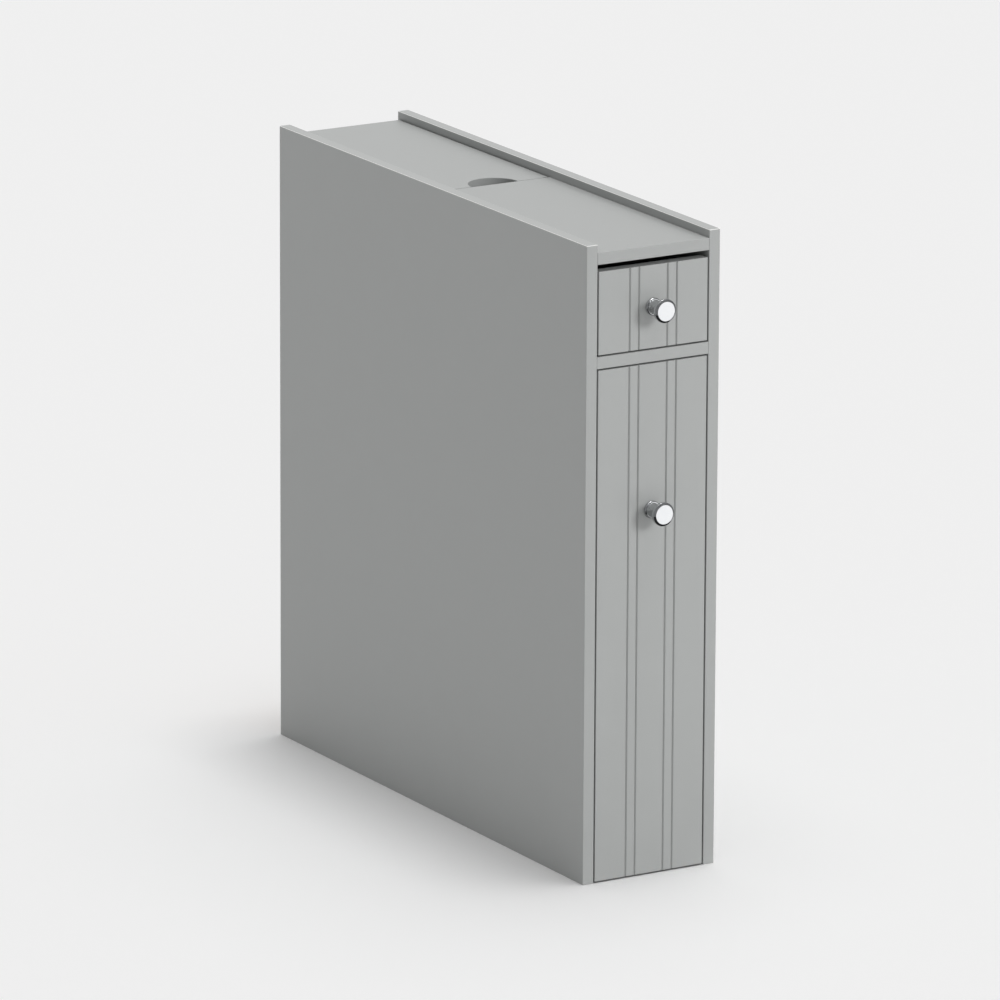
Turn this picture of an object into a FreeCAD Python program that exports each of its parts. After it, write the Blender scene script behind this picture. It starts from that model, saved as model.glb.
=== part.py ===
import FreeCAD, Part
import math
import os
from types import SimpleNamespace

import Sketcher

# Narrow bathroom cabinet: a drawer, and a lift-up lid behind it, over a tall pull-out rack on castors.
# Pieces are drawn in cabinet coordinates: x from the left outer face, y from the front to the back, z up.
# The part frame has its origin on the floor, in the middle of the whole outline with the knobs.

doc = FreeCAD.newDocument("narrow_bathroom_cabinet")
sheet = doc.addObject("Spreadsheet::Sheet", "Sizes")

# Driving dimensions in millimetres
SIZES = {
    # The carcass and its boards
    "width": 150,
    "depth": 600,
    "height": 640,
    "board": 12,
    "eased_edge": 0.5,
    # Clearances: a fastener in its hole, a piece that slides past another, a turning shaft, a cut past a face
    "fit": 0.1,
    "running_gap": 0.3,
    "shaft_play": 0.05,
    "overrun": 1,
    # Fixed top and lid
    "top_drop": 8,
    "lid_depth": 299.1,
    "lid_gap": 1.8,
    "notch_radius": 26.3,
    "pin_diameter": 5,
    "pin_bite": 14,
    "bush_diameter": 8,
    "bush_length": 6,
    # Gaps round the inset fronts and the V-grooves in them, placed from the centre line
    "front_gap": 1.6,
    "drawer_head_gap": 7,
    "drawer_front_height": 82.5,
    "floor_gap": 1.5,
    "inner_groove": 16,
    "outer_groove": 26.4,
    "groove_width": 2.3,
    "groove_depth": 1.4,
    # Back panel and the two rails in front of it
    "back_thickness": 4,
    "back_inset": 8,
    "back_groove": 5,
    "back_lift": 3,
    "rail_drop": 0.5,
    "top_rail_height": 45,
    "bottom_rail_height": 60,
    "bottom_rail_lift": 12,
    # Dowels and cam fittings
    "dowel_diameter": 6,
    "dowel_length": 25,
    "dowel_chamfer": 0.7,
    "hole_floor": 4,
    "joint_inset": 40,
    "joint_pitch": 32,
    "upright_joint_inset": 15,
    "cam_diameter": 12,
    "cam_floor": 2.5,
    "cam_backset": 24,
    "cam_slot_width": 1.6,
    "cam_slot_depth": 2,
    "bolt_thread": 5,
    "bolt_shank": 4,
    "bolt_head": 6.4,
    "bolt_head_length": 4,
    # Wood screws
    "screw_shank": 3.4,
    "screw_head": 6.8,
    "screw_head_height": 2.4,
    "screw_head_round": 0.8,
    "screw_point": 2.5,
    "screw_bite": 8,
    "long_screw_bite": 26,
    # Drawer box and its runners: low joints are set down from the runners, high ones from the top edge
    "box_clear": 4,
    "box_height": 64,
    "bottom_thickness": 4,
    "bottom_rise": 8,
    "bottom_groove": 5,
    "box_joint_low": 10,
    "box_joint_drop": 14,
    "runner_height": 18,
    "runner_rib": 9.4,
    "runner_bite": 6,
    "runner_inset": 8,
    "runner_screw_inset": 30,
    "runner_recess": 3,
    # Rubber stops and nylon glides, each a button on a stem
    "bumper_thickness": 2,
    "button_diameter": 10,
    "button_round": 0.6,
    "stem_diameter": 4,
    "stem_length": 6,
    "bumper_rise": 40,
    "bumper_spread": 35,
    "box_bumper_rise": 50,
    "glide_inset": 70,
    "glide_drop": 30,
    # Pull-out rack
    "lower_tier": 150,
    "middle_tier": 130,
    "rack_head_gap": 16.5,
    "rack_cam_spread": 18,
    "rack_screw_spread": 30,
    "guard_diameter": 6,
    "guard_inset": 8,
    "guard_rise": 38,
    "guard_bite": 8,
    # Castors
    "wheel_diameter": 25,
    "wheel_width": 10,
    "wheel_shoulder": 1.5,
    "wheel_hub": 10,
    "wheel_web": 18,
    "wheel_dish": 1.5,
    "wheel_clear": 4,
    "wheel_side_gap": 0.5,
    "axle_diameter": 5,
    "axle_head": 8,
    "axle_head_height": 1.2,
    "bracket_sheet": 1.5,
    "bracket_length": 46,
    "cheek_length": 24,
    "cheek_round": 5.5,
    "bracket_screw_spread": 17,
    "castor_side": 22.4,
    "castor_end": 42,
    # Knobs and their screws
    "knob_length": 24,
    "knob_foot": 17.5,
    "knob_foot_rim": 1,
    "knob_foot_round": 1.6,
    "knob_neck": 11,
    "knob_neck_height": 10.5,
    "knob_head": 23.5,
    "knob_head_height": 6,
    "knob_back_round": 2,
    "knob_face_round": 1.5,
    "knob_drop": 145.8,
    "knob_thread": 4,
    "knob_thread_bite": 12,
    "knob_screw_head": 8,
    "knob_screw_head_height": 2.6,
    "knob_screw_recess": 3,
}


class Size:
    """A length: its number now and the spreadsheet expression that it follows."""

    def __init__(self, value, text):
        self.value = value
        self.text = text

    def join(self, other, sign, value):
        return Size(value, f"({self.text} {sign} {text_of(other)})")

    def __add__(self, other):
        return self.join(other, "+", self.value + value_of(other))

    def __sub__(self, other):
        return self.join(other, "-", self.value - value_of(other))

    def __mul__(self, other):
        return self.join(other, "*", self.value * value_of(other))

    def __truediv__(self, other):
        return self.join(other, "/", self.value / value_of(other))


def value_of(size):
    return size.value if isinstance(size, Size) else size


def text_of(size):
    return size.text if isinstance(size, Size) else str(size)


for row, (alias, number) in enumerate(SIZES.items(), 1):
    sheet.set(f"A{row}", alias)
    sheet.set(f"B{row}", str(number))
    sheet.setAlias(f"B{row}", alias)
doc.recompute()
s = SimpleNamespace(**{alias: Size(number, f"Sizes.{alias}") for alias, number in SIZES.items()})

# Levels that several pieces share, in cabinet coordinates
zero = Size(0, "0")
middle = s.width / 2
inner_width = s.width - s.board * 2
inner_right = s.width - s.board
front_left = s.board + s.front_gap
front_width = inner_width - s.front_gap * 2
front_right = front_left + front_width
top_under = s.height - s.top_drop - s.board
drawer_low = top_under - s.drawer_head_gap - s.drawer_front_height
divider_top = drawer_low - s.front_gap
divider_low = divider_top - s.board
rack_front_top = divider_low - s.front_gap
back_front = s.depth - s.back_inset - s.back_thickness
back_top = top_under - s.rail_drop
rail_front = back_front - s.board
seam_front = s.depth - s.lid_depth - s.lid_gap
partition_front = seam_front + s.lid_gap / 2 - s.board / 2
box_low = divider_top + s.box_clear
box_top = box_low + s.box_height
drawer_rear = partition_front - s.bumper_thickness - s.running_gap
rack_rear = rail_front - s.bumper_thickness - s.running_gap
upright_front = rack_rear - s.board
rack_low = s.wheel_diameter + s.wheel_clear + s.bracket_sheet
lower_shelf_low = rack_low + s.board + s.lower_tier
upper_shelf_low = lower_shelf_low + s.board + s.middle_tier
rack_top = divider_low - s.rack_head_gap
drawer_knob_height = drawer_low + s.drawer_front_height / 2
rack_knob_height = rack_front_top - s.knob_drop

# Hole sizes that follow the fasteners
blind = s.board - s.hole_floor
dowel_hole = s.dowel_diameter + s.fit * 2
bolt_hole = s.bolt_thread + s.fit * 2
bolt_bore = s.bolt_head + s.fit * 2
cam_hole = s.cam_diameter + s.fit * 2
screw_hole = s.screw_shank + s.fit * 2
screw_recess_width = s.screw_head + s.fit * 2
stem_hole = s.stem_diameter + s.fit * 2

# Ways to turn a piece: its own z axis along an axis of the cabinet, or upright with a cam's mouth to one side
TURNS = {
    "+x": FreeCAD.Rotation(FreeCAD.Vector(0, 1, 0), 90),
    "-x": FreeCAD.Rotation(FreeCAD.Vector(0, 1, 0), -90),
    "+y": FreeCAD.Rotation(FreeCAD.Vector(1, 0, 0), -90),
    "-y": FreeCAD.Rotation(FreeCAD.Vector(1, 0, 0), 90),
    "+z": FreeCAD.Rotation(),
    "-z": FreeCAD.Rotation(FreeCAD.Vector(1, 0, 0), 180),
    "mouth left": FreeCAD.Rotation(FreeCAD.Vector(0, 0, 1), 180),
    "mouth right": FreeCAD.Rotation(),
    "mouth front": FreeCAD.Rotation(FreeCAD.Vector(0, 0, 1), -90),
}
sub_parts = []


def keep(item, label):
    """Names a finished sub-part, which is then written to a file of that name."""
    item.Label = label
    sub_parts.append(item)
    return item


def place(item, x, y, z, direction="+z"):
    """Puts an item at a point in cabinet coordinates, turned as one of the directions says."""
    item.Placement = FreeCAD.Placement(FreeCAD.Vector(), TURNS[direction])
    item.setExpression("Placement.Base.x", (x - middle).text)
    item.setExpression("Placement.Base.y", (s.knob_length / 2 - s.depth / 2 + y).text)
    item.setExpression("Placement.Base.z", text_of(z))


def new_body(label):
    return doc.addObject("PartDesign::Body", label)


def new_sketch(body, role, offset=None):
    """A sketch on one of the body's own origin planes, moved along the plane's normal by the offset."""
    sketch = body.newObject("Sketcher::SketchObject", f"{body.Name}_sketch")
    planes = [plane for plane in body.Origin.OriginFeatures if plane.Role == role]
    sketch.AttachmentSupport = [(planes[0], "")]
    sketch.MapMode = "FlatFace"
    if offset is not None:
        sketch.setExpression("AttachmentOffset.Base.z", offset.text)
    return sketch


def bind(sketch, constraint, size):
    index = sketch.addConstraint(constraint)
    sketch.setExpression(f"Constraints[{index}]", size.text)


def pin(sketch, geometry, point, x, y):
    """Ties a point of the sketch to its two coordinates, either of which may be zero."""
    for kind, axis, size in (("DistanceX", -2, x), ("DistanceY", -1, y)):
        if isinstance(size, Size):
            bind(sketch, Sketcher.Constraint(kind, -1, 1, geometry, point, size.value), size)
        else:
            sketch.addConstraint(Sketcher.Constraint("PointOnObject", geometry, point, axis))


def arc_between(start, end, radius, turn):
    """The shorter arc from start to end: turn 1 goes round to the left, turn -1 to the right."""
    chord = end - start
    middle_point = (start + end) / 2
    rise = math.sqrt(max(radius ** 2 - (chord.Length / 2) ** 2, 0))
    side = FreeCAD.Vector(-chord.y, chord.x, 0).normalize() * (rise * turn)
    centre = middle_point + side
    angles = [math.atan2(point.y - centre.y, point.x - centre.x) for point in (start, end)]
    circle = Part.Circle(centre, FreeCAD.Vector(0, 0, 1), radius)
    return Part.ArcOfCircle(circle, *angles[::turn])


def draw(sketch, outline):
    """A closed outline of corners (x, y), where (x, y, radius, turn) starts an arc to the next corner."""
    first = sketch.GeometryCount
    corners = [FreeCAD.Vector(value_of(corner[0]), value_of(corner[1]), 0) for corner in outline]
    ends = []
    for number, corner in enumerate(outline):
        start = corners[number]
        end = corners[(number + 1) % len(corners)]
        if len(corner) == 2:
            sketch.addGeometry(Part.LineSegment(start, end))
            ends.append((1, 2))
        else:
            radius, turn = corner[2:]
            sketch.addGeometry(arc_between(start, end, radius.value, turn))
            ends.append((1, 2)[::turn])
    for number, corner in enumerate(outline):
        following = (number + 1) % len(outline)
        edge = first + number
        meeting = (edge, ends[number][1], first + following, ends[following][0])
        sketch.addConstraint(Sketcher.Constraint("Coincident", *meeting))
    for number, corner in enumerate(outline):
        pin(sketch, first + number, ends[number][0], *corner[:2])
        if len(corner) > 2:
            bind(sketch, Sketcher.Constraint("Radius", first + number, corner[2].value), corner[2])


def draw_circles(sketch, centres, diameter):
    """Circles of one diameter at points of the sketch."""
    for x, y in centres:
        spot = FreeCAD.Vector(value_of(x), value_of(y), 0)
        circle = sketch.addGeometry(Part.Circle(spot, FreeCAD.Vector(0, 0, 1), diameter.value / 2))
        pin(sketch, circle, 3, x, y)
        bind(sketch, Sketcher.Constraint("Diameter", circle, diameter.value), diameter)


def pad(body, sketch, length, reverse=False):
    made = body.newObject("PartDesign::Pad", f"{body.Name}_pad")
    made.Profile = sketch
    made.setExpression("Length", length.text)
    made.Reversed = reverse
    doc.recompute()
    return made


def cut(body, sketch, depth=None, reverse=False):
    """A pocket of the given depth, or right through, which has to take material away."""
    before = body.Shape.Volume
    made = body.newObject("PartDesign::Pocket", f"{body.Name}_pocket")
    made.Profile = sketch
    made.Reversed = reverse
    if depth is None:
        made.Type = "ThroughAll"
    else:
        made.setExpression("Length", depth.text)
    doc.recompute()
    if body.Shape.Volume >= before:
        raise RuntimeError(f"{made.Name} cuts nothing")
    return made


def ease(body, feature, chosen=None, radius=s.eased_edge):
    """Rounds the edges that a test picks, or all of them, by the boards' eased edge or another radius."""
    edges = feature.Shape.Edges
    names = [f"Edge{number}" for number, edge in enumerate(edges, 1) if chosen is None or chosen(edge)]
    made = body.newObject("PartDesign::Fillet", f"{body.Name}_eased")
    made.Base = (feature, names)
    made.setExpression("Radius", radius.text)
    doc.recompute()
    if made.Shape.Volume >= feature.Shape.Volume:
        raise RuntimeError(f"{made.Name} rounds nothing")
    return made


# Each face of a board: its plane, whether a cut into it is reversed, and the two axes that its sketch shows
FACES = {
    "left": ("YZ_Plane", True, (1, 2)),
    "right": ("YZ_Plane", False, (1, 2)),
    "front": ("XZ_Plane", False, (0, 2)),
    "rear": ("XZ_Plane", True, (0, 2)),
    "bottom": ("XY_Plane", True, (0, 1)),
    "top": ("XY_Plane", False, (0, 1)),
}


class Board:
    """A sawn board with eased edges, drawn from its low front left corner, to be drilled and grooved."""

    def __init__(self, label, corner, size):
        self.corner = corner
        self.size = size
        self.body = keep(new_body(label), label)
        sketch = new_sketch(self.body, "XY_Plane")
        draw(sketch, [(0, 0), (size[0], 0), (size[0], size[1]), (0, size[1])])
        ease(self.body, pad(self.body, sketch, size[2]))
        place(self.body, *corner)

    def sketch_on(self, face):
        role = FACES[face][0]
        offsets = {"right": self.size[0], "rear": self.size[1] * -1, "top": self.size[2]}
        return new_sketch(self.body, role, offsets.get(face))

    def local(self, face, point):
        """A point in cabinet coordinates, as the face's sketch sees it."""
        across, up = FACES[face][2]
        return point[0] - self.corner[across], point[1] - self.corner[up]

    def drill(self, face, points, diameter, depth=None):
        """Holes of one diameter into a face, at points given by the two cabinet axes that it shows."""
        sketch = self.sketch_on(face)
        draw_circles(sketch, [self.local(face, point) for point in points], diameter)
        cut(self.body, sketch, depth, FACES[face][1])

    def groove(self, face, low, high, depth):
        """A square-sided groove into a face, between two corners given by the axes that it shows."""
        sketch = self.sketch_on(face)
        x0, y0 = self.local(face, low)
        x1, y1 = self.local(face, high)
        draw(sketch, [(x0, y0), (x1, y0), (x1, y1), (x0, y1)])
        cut(self.body, sketch, depth, FACES[face][1])


def turned(label, outline):
    """A turned body: half its section, as (radius, height) corners, spun round the height axis."""
    body = new_body(label)
    sketch = new_sketch(body, "XZ_Plane")
    draw(sketch, outline)
    made = body.newObject("PartDesign::Revolution", f"{label}_turned")
    made.Profile = sketch
    made.ReferenceAxis = (sketch, ["V_Axis"])
    doc.recompute()
    return body


def copies(label, master, spots):
    """One node of separate solids: the master piece at each spot (x, y, z, direction)."""
    links = []
    for number, spot in enumerate(spots, 1):
        link = doc.addObject("App::Link", f"{label}_{number}")
        link.LinkedObject = master
        place(link, *spot)
        links.append(link)
    group = doc.addObject("Part::Compound", label)
    group.Links = links
    return keep(group, label)


def both_sides(y, z, depth):
    """The same fastener in the left and the right side panel, sunk into the panel by the depth."""
    return [(s.board - depth, y, z, "+x"), (inner_right + depth, y, z, "-x")]


# Carcass boards
left_panel = Board("left_side_panel", (zero, zero, zero), (s.board, s.depth, s.height))
right_panel = Board("right_side_panel", (inner_right, zero, zero), (s.board, s.depth, s.height))
top_panel = Board("top_panel", (s.board, zero, top_under), (inner_width, seam_front, s.board))
divider = Board("divider_shelf", (s.board, zero, divider_low), (inner_width, back_front, s.board))
partition = Board("partition", (s.board, partition_front, divider_top),
                  (inner_width, s.board, top_under - divider_top))
top_rail = Board("rear_top_rail", (s.board, rail_front, back_top - s.top_rail_height),
                 (inner_width, s.board, s.top_rail_height))
bottom_rail = Board("rear_bottom_rail", (s.board, rail_front, s.bottom_rail_lift),
                    (inner_width, s.board, s.bottom_rail_height))

# Back panel, slid up into grooves of the side panels
back_reach = s.back_groove - s.fit
back_body = keep(new_body("back_panel"), "back_panel")
back_sketch = new_sketch(back_body, "XY_Plane")
back_width = inner_width + back_reach * 2
draw(back_sketch, [(0, 0), (back_width, 0), (back_width, s.back_thickness), (0, s.back_thickness)])
pad(back_body, back_sketch, back_top - s.back_lift)
place(back_body, s.board - back_reach, back_front, s.back_lift)
for panel, face in ((left_panel, "right"), (right_panel, "left")):
    groove_start = (back_front - s.fit, s.overrun * -1)
    groove_end = (back_front + s.back_thickness + s.fit, back_top + s.fit)
    panel.groove(face, groove_start, groove_end, s.back_groove)

# Dowel, with chamfered ends
dowel_radius = s.dowel_diameter / 2
dowel_nose = dowel_radius - s.dowel_chamfer
dowel = turned("dowel", [
    (0, 0),
    (dowel_nose, 0),
    (dowel_radius, s.dowel_chamfer),
    (dowel_radius, s.dowel_length - s.dowel_chamfer),
    (dowel_nose, s.dowel_length),
    (0, s.dowel_length),
])

# Cam bolt: the thread goes into one board, the head stands in the other board's end for the cam to draw in
bolt_radii = [size / 2 for size in (s.bolt_thread, s.bolt_shank, s.bolt_head)]
bolt_neck = blind + s.cam_backset - s.bolt_head_length
cam_bolt = turned("cam_bolt", [
    (0, 0),
    (bolt_radii[0], 0),
    (bolt_radii[0], blind),
    (bolt_radii[1], blind),
    (bolt_radii[1], bolt_neck),
    (bolt_radii[2], bolt_neck),
    (bolt_radii[2], blind + s.cam_backset),
    (0, blind + s.cam_backset),
])

# Cam disc, with a mouth for the bolt's head towards its own x axis and a cross recess in its lower face
cam_height = s.board - s.cam_floor - s.fit
cam = turned("cam_disc", [(0, 0), (s.cam_diameter / 2, 0), (s.cam_diameter / 2, cam_height), (0, cam_height)])
mouth = new_sketch(cam, "YZ_Plane")
draw_circles(mouth, [(0, s.board / 2)], bolt_bore)
cut(cam, mouth, reverse=True)
slot_reach = s.cam_diameter / 2 - s.cam_slot_depth
slot_half = s.cam_slot_width / 2
slot_back = slot_reach * -1
slot_side = slot_half * -1
for slot_outline in (
    [(slot_back, slot_side), (slot_reach, slot_side), (slot_reach, slot_half), (slot_back, slot_half)],
    [(slot_side, slot_back), (slot_half, slot_back), (slot_half, slot_reach), (slot_side, slot_reach)],
):
    slot = new_sketch(cam, "XY_Plane")
    draw(slot, slot_outline)
    cut(cam, slot, s.cam_slot_depth, reverse=True)

# Joints of the boards with the side panels: cams and dowels in the lying boards, dowels in the standing ones
bolt_spots = []
cam_spots = []
dowel_spots = []
for lying in (top_panel, divider):
    joint_height = lying.corner[2] + s.board / 2
    rear_end = lying.size[1]
    cam_rows = [s.joint_inset, rear_end - s.joint_inset]
    dowel_rows = [s.joint_inset + s.joint_pitch, rear_end - s.joint_inset - s.joint_pitch]
    for row in cam_rows:
        bolt_spots += both_sides(row, joint_height, blind)
        cam_spots.append((s.board + s.cam_backset, row, lying.corner[2], "mouth left"))
        cam_spots.append((inner_right - s.cam_backset, row, lying.corner[2], "mouth right"))
    for row in dowel_rows:
        dowel_spots += both_sides(row, joint_height, blind)
    for face in ("left", "right"):
        lying.drill(face, [(row, joint_height) for row in cam_rows], bolt_bore, s.cam_backset)
        lying.drill(face, [(row, joint_height) for row in dowel_rows], dowel_hole,
                    s.dowel_length - blind + s.fit)
    cam_columns = [s.board + s.cam_backset, inner_right - s.cam_backset]
    lying.drill("bottom", [(column, row) for column in cam_columns for row in cam_rows], cam_hole,
                s.board - s.cam_floor)
for standing in (partition, top_rail, bottom_rail):
    joint_depth = standing.corner[1] + s.board / 2
    low_row = standing.corner[2] + s.upright_joint_inset
    high_row = standing.corner[2] + standing.size[2] - s.upright_joint_inset
    for row in (low_row, high_row):
        dowel_spots += both_sides(joint_depth, row, blind)
    for face in ("left", "right"):
        standing.drill(face, [(joint_depth, low_row), (joint_depth, high_row)], dowel_hole,
                       s.dowel_length - blind + s.fit)
for panel, face, facing in ((left_panel, "right", "+x"), (right_panel, "left", "-x")):
    panel.drill(face, [spot[1:3] for spot in dowel_spots if spot[3] == facing], dowel_hole, blind + s.fit)
    panel.drill(face, [spot[1:3] for spot in bolt_spots if spot[3] == facing], bolt_hole, blind + s.fit)
copies("dowels", dowel, dowel_spots)
copies("cam_bolts", cam_bolt, bolt_spots)
copies("cam_discs", cam, cam_spots)

# Lid: a board with a rounded rear edge, so that it turns on its pins clear of the back, and a finger notch
lid_left = s.board + s.lid_gap
lid_width = inner_width - s.lid_gap * 2
lid_front = seam_front + s.lid_gap
nose = s.board / 2
lid_straight = s.lid_depth - nose
lid = keep(new_body("lid_panel"), "lid_panel")
lid_sketch = new_sketch(lid, "YZ_Plane")
draw(lid_sketch, [
    (0, 0),
    (lid_straight, 0, nose, 1),
    (s.lid_depth, nose, nose, 1),
    (lid_straight, s.board),
    (0, s.board),
])
ease(lid, pad(lid, lid_sketch, lid_width), lambda edge: edge.BoundBox.YMax < nose.value)
notch = new_sketch(lid, "XY_Plane")
draw_circles(notch, [(lid_width / 2, 0)], s.notch_radius * 2)
notched = cut(lid, notch, reverse=True)
ease(lid, notched, lambda edge: edge.Curve.TypeId == "Part::GeomCircle"
     and edge.Curve.Radius > s.notch_radius.value - s.fit.value)
place(lid, lid_left, lid_front, top_under)

# Lid pins, pressed into the lid's ends, in nylon bushes let into the side panels
pivot_depth = s.depth - nose
pivot_height = top_under + nose
pin_hole = s.pin_diameter + s.fit * 2
for role_offset, reverse in ((None, True), (lid_width, False)):
    pin_sketch = new_sketch(lid, "YZ_Plane", role_offset)
    draw_circles(pin_sketch, [(lid_straight, nose)], pin_hole)
    cut(lid, pin_sketch, s.pin_bite, reverse)
pin_radius = s.pin_diameter / 2
pin_reach = s.bush_length - s.running_gap
pin_length = pin_reach + s.lid_gap + s.pin_bite - s.fit
lid_pin = turned("lid_pin", [(0, 0), (pin_radius, 0), (pin_radius, pin_length), (0, pin_length)])
copies("lid_pins", lid_pin, both_sides(pivot_depth, pivot_height, pin_reach))
bush_bore = pin_radius + s.shaft_play
bush = turned("lid_bush", [
    (bush_bore, 0),
    (s.bush_diameter / 2, 0),
    (s.bush_diameter / 2, s.bush_length),
    (bush_bore, s.bush_length),
])
copies("lid_bushes", bush, both_sides(pivot_depth, pivot_height, s.bush_length))
for panel, face in ((left_panel, "right"), (right_panel, "left")):
    panel.drill(face, [(pivot_depth, pivot_height)], s.bush_diameter + s.fit * 2, s.bush_length + s.fit)


def wood_screw(label, shank_length):
    """A pan-head wood screw with its head's seat at height zero, its shank down and a plain point."""
    head = s.screw_head / 2
    shank = s.screw_shank / 2
    drop = shank_length * -1
    return turned(label, [
        (0, drop),
        (shank, drop + s.screw_point),
        (shank, 0),
        (head, 0),
        (head, s.screw_head_height - s.screw_head_round, s.screw_head_round, 1),
        (head - s.screw_head_round, s.screw_head_height),
        (0, s.screw_head_height),
    ])


def button(label, thickness):
    """A round button with a soft rim on a stem that goes down from height zero."""
    rim = s.button_diameter / 2
    stem = s.stem_diameter / 2
    drop = s.stem_length * -1
    return turned(label, [
        (0, drop),
        (stem, drop),
        (stem, 0),
        (rim, 0),
        (rim, thickness - s.button_round, s.button_round, 1),
        (rim - s.button_round, thickness),
        (0, thickness),
    ])


# Rubber stops: two on the bottom rail for the rack, two on the partition for the drawer
bumper = button("bumper", s.bumper_thickness)
rack_stop_height = s.bottom_rail_lift + s.bumper_rise
rack_stops = [(middle - s.bumper_spread, rack_stop_height), (middle + s.bumper_spread, rack_stop_height)]
drawer_stop_height = box_low + s.box_bumper_rise
box_columns = [front_left + s.board / 2, front_right - s.board / 2]
drawer_stops = [(column, drawer_stop_height) for column in box_columns]
bottom_rail.drill("front", rack_stops, stem_hole, s.stem_length + s.fit)
partition.drill("front", drawer_stops, stem_hole, s.stem_length + s.fit)
bumper_spots = [(x, rail_front, z, "-y") for x, z in rack_stops]
bumper_spots += [(x, partition_front, z, "-y") for x, z in drawer_stops]
copies("stop_bumpers", bumper, bumper_spots)

# Drawer runners: plastic strips with a rib that runs in a groove of the drawer side
runner_middle = box_low + s.box_height / 2
runner_low = runner_middle - s.runner_height / 2
runner_front = s.board + s.runner_inset
runner_length = partition_front - s.runner_inset - runner_front
flange = s.front_gap - s.running_gap
rib_reach = s.front_gap + s.runner_bite
rib_low = s.runner_height / 2 - s.runner_rib / 2
rib_high = rib_low + s.runner_rib
runner_screw_rows = [runner_front + s.runner_screw_inset, runner_front + runner_length - s.runner_screw_inset]
runner_outline = [
    (0, 0),
    (flange, 0),
    (flange, rib_low),
    (rib_reach, rib_low),
    (rib_reach, rib_high),
    (flange, rib_high),
    (flange, s.runner_height),
    (0, s.runner_height),
]
runner_holes = [(row - runner_front, s.runner_height / 2) for row in runner_screw_rows]
for side in ("left", "right"):
    runner = keep(new_body(f"{side}_drawer_runner"), f"{side}_drawer_runner")
    runner_sketch = new_sketch(runner, "XZ_Plane")
    outline = runner_outline
    if side == "right":
        outline = [(rib_reach - x, z) for x, z in runner_outline]
    draw(runner_sketch, outline)
    pad(runner, runner_sketch, runner_length, reverse=True)
    bore_sketch = new_sketch(runner, "YZ_Plane")
    draw_circles(bore_sketch, runner_holes, screw_hole)
    cut(runner, bore_sketch, reverse=True)
    recess_sketch = new_sketch(runner, "YZ_Plane", rib_reach if side == "left" else None)
    draw_circles(recess_sketch, runner_holes, screw_recess_width)
    cut(runner, recess_sketch, s.runner_recess, reverse=side == "right")
    place(runner, s.board if side == "left" else inner_right - rib_reach, runner_front, runner_low)
runner_seat = rib_reach - s.runner_recess
runner_screw = wood_screw("runner_screw", runner_seat + s.screw_bite)
runner_screw_spots = []
for row in runner_screw_rows:
    runner_screw_spots.append((s.board + runner_seat, row, runner_middle, "+x"))
    runner_screw_spots.append((inner_right - runner_seat, row, runner_middle, "-x"))
copies("runner_screws", runner_screw, runner_screw_spots)
for panel, face in ((left_panel, "right"), (right_panel, "left")):
    panel.drill(face, [(row, runner_middle) for row in runner_screw_rows], screw_hole, s.screw_bite + s.fit)


def grooved_front(label, low, high, knob_height):
    """An inset front with four V-grooves down its face and a recessed hole for the knob's screw."""
    front = Board(label, (front_left, zero, low), (front_width, s.board, high - low))
    sketch = front.sketch_on("bottom")
    for offset in (s.outer_groove * -1, s.inner_groove * -1, s.inner_groove, s.outer_groove):
        line = front_width / 2 + offset
        half = s.groove_width / 2
        draw(sketch, [(line - half, 0), (line + half, 0), (line, s.groove_depth)])
    cut(front.body, sketch, reverse=True)
    front.drill("rear", [(middle, knob_height)], s.knob_thread + s.fit * 2)
    front.drill("rear", [(middle, knob_height)], s.knob_screw_head + s.fit * 2, s.knob_screw_recess)
    return front


# Drawer front, sides, back and bottom
drawer_front = grooved_front("drawer_front", drawer_low, top_under - s.drawer_head_gap, drawer_knob_height)
box_length = drawer_rear - s.board
box_left = Board("left_drawer_side", (front_left, s.board, box_low), (s.board, box_length, s.box_height))
box_right = Board("right_drawer_side", (front_right - s.board, s.board, box_low),
                  (s.board, box_length, s.box_height))
bottom_low = box_low + s.bottom_rise
bottom_top = bottom_low + s.bottom_thickness
box_inner_left = front_left + s.board
box_inner_right = front_right - s.board
box_back = Board("drawer_back", (box_inner_left, drawer_rear - s.board, bottom_top),
                 (box_inner_right - box_inner_left, s.board, box_top - bottom_top))
bottom_reach = s.bottom_groove - s.fit
drawer_bottom = keep(new_body("drawer_bottom"), "drawer_bottom")
bottom_sketch = new_sketch(drawer_bottom, "XY_Plane")
bottom_width = box_inner_right - box_inner_left + bottom_reach * 2
bottom_length = box_length + bottom_reach
draw(bottom_sketch, [(0, 0), (bottom_width, 0), (bottom_width, bottom_length), (0, bottom_length)])
pad(drawer_bottom, bottom_sketch, s.bottom_thickness)
place(drawer_bottom, box_inner_left - bottom_reach, s.board - bottom_reach, bottom_low)
for side_board, inner_face, outer_face in ((box_left, "right", "left"), (box_right, "left", "right")):
    side_board.groove(inner_face, (s.board - s.overrun, bottom_low - s.fit),
                      (drawer_rear + s.overrun, bottom_top + s.fit), s.bottom_groove)
    rib_half = s.runner_rib / 2 + s.running_gap
    side_board.groove(outer_face, (s.board - s.overrun, runner_middle - rib_half),
                      (drawer_rear + s.overrun, runner_middle + rib_half), s.runner_bite + s.running_gap)
drawer_front.groove("rear", (box_inner_left - s.bottom_groove, bottom_low - s.fit),
                    (box_inner_right + s.bottom_groove, bottom_top + s.fit), s.bottom_groove)

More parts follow.
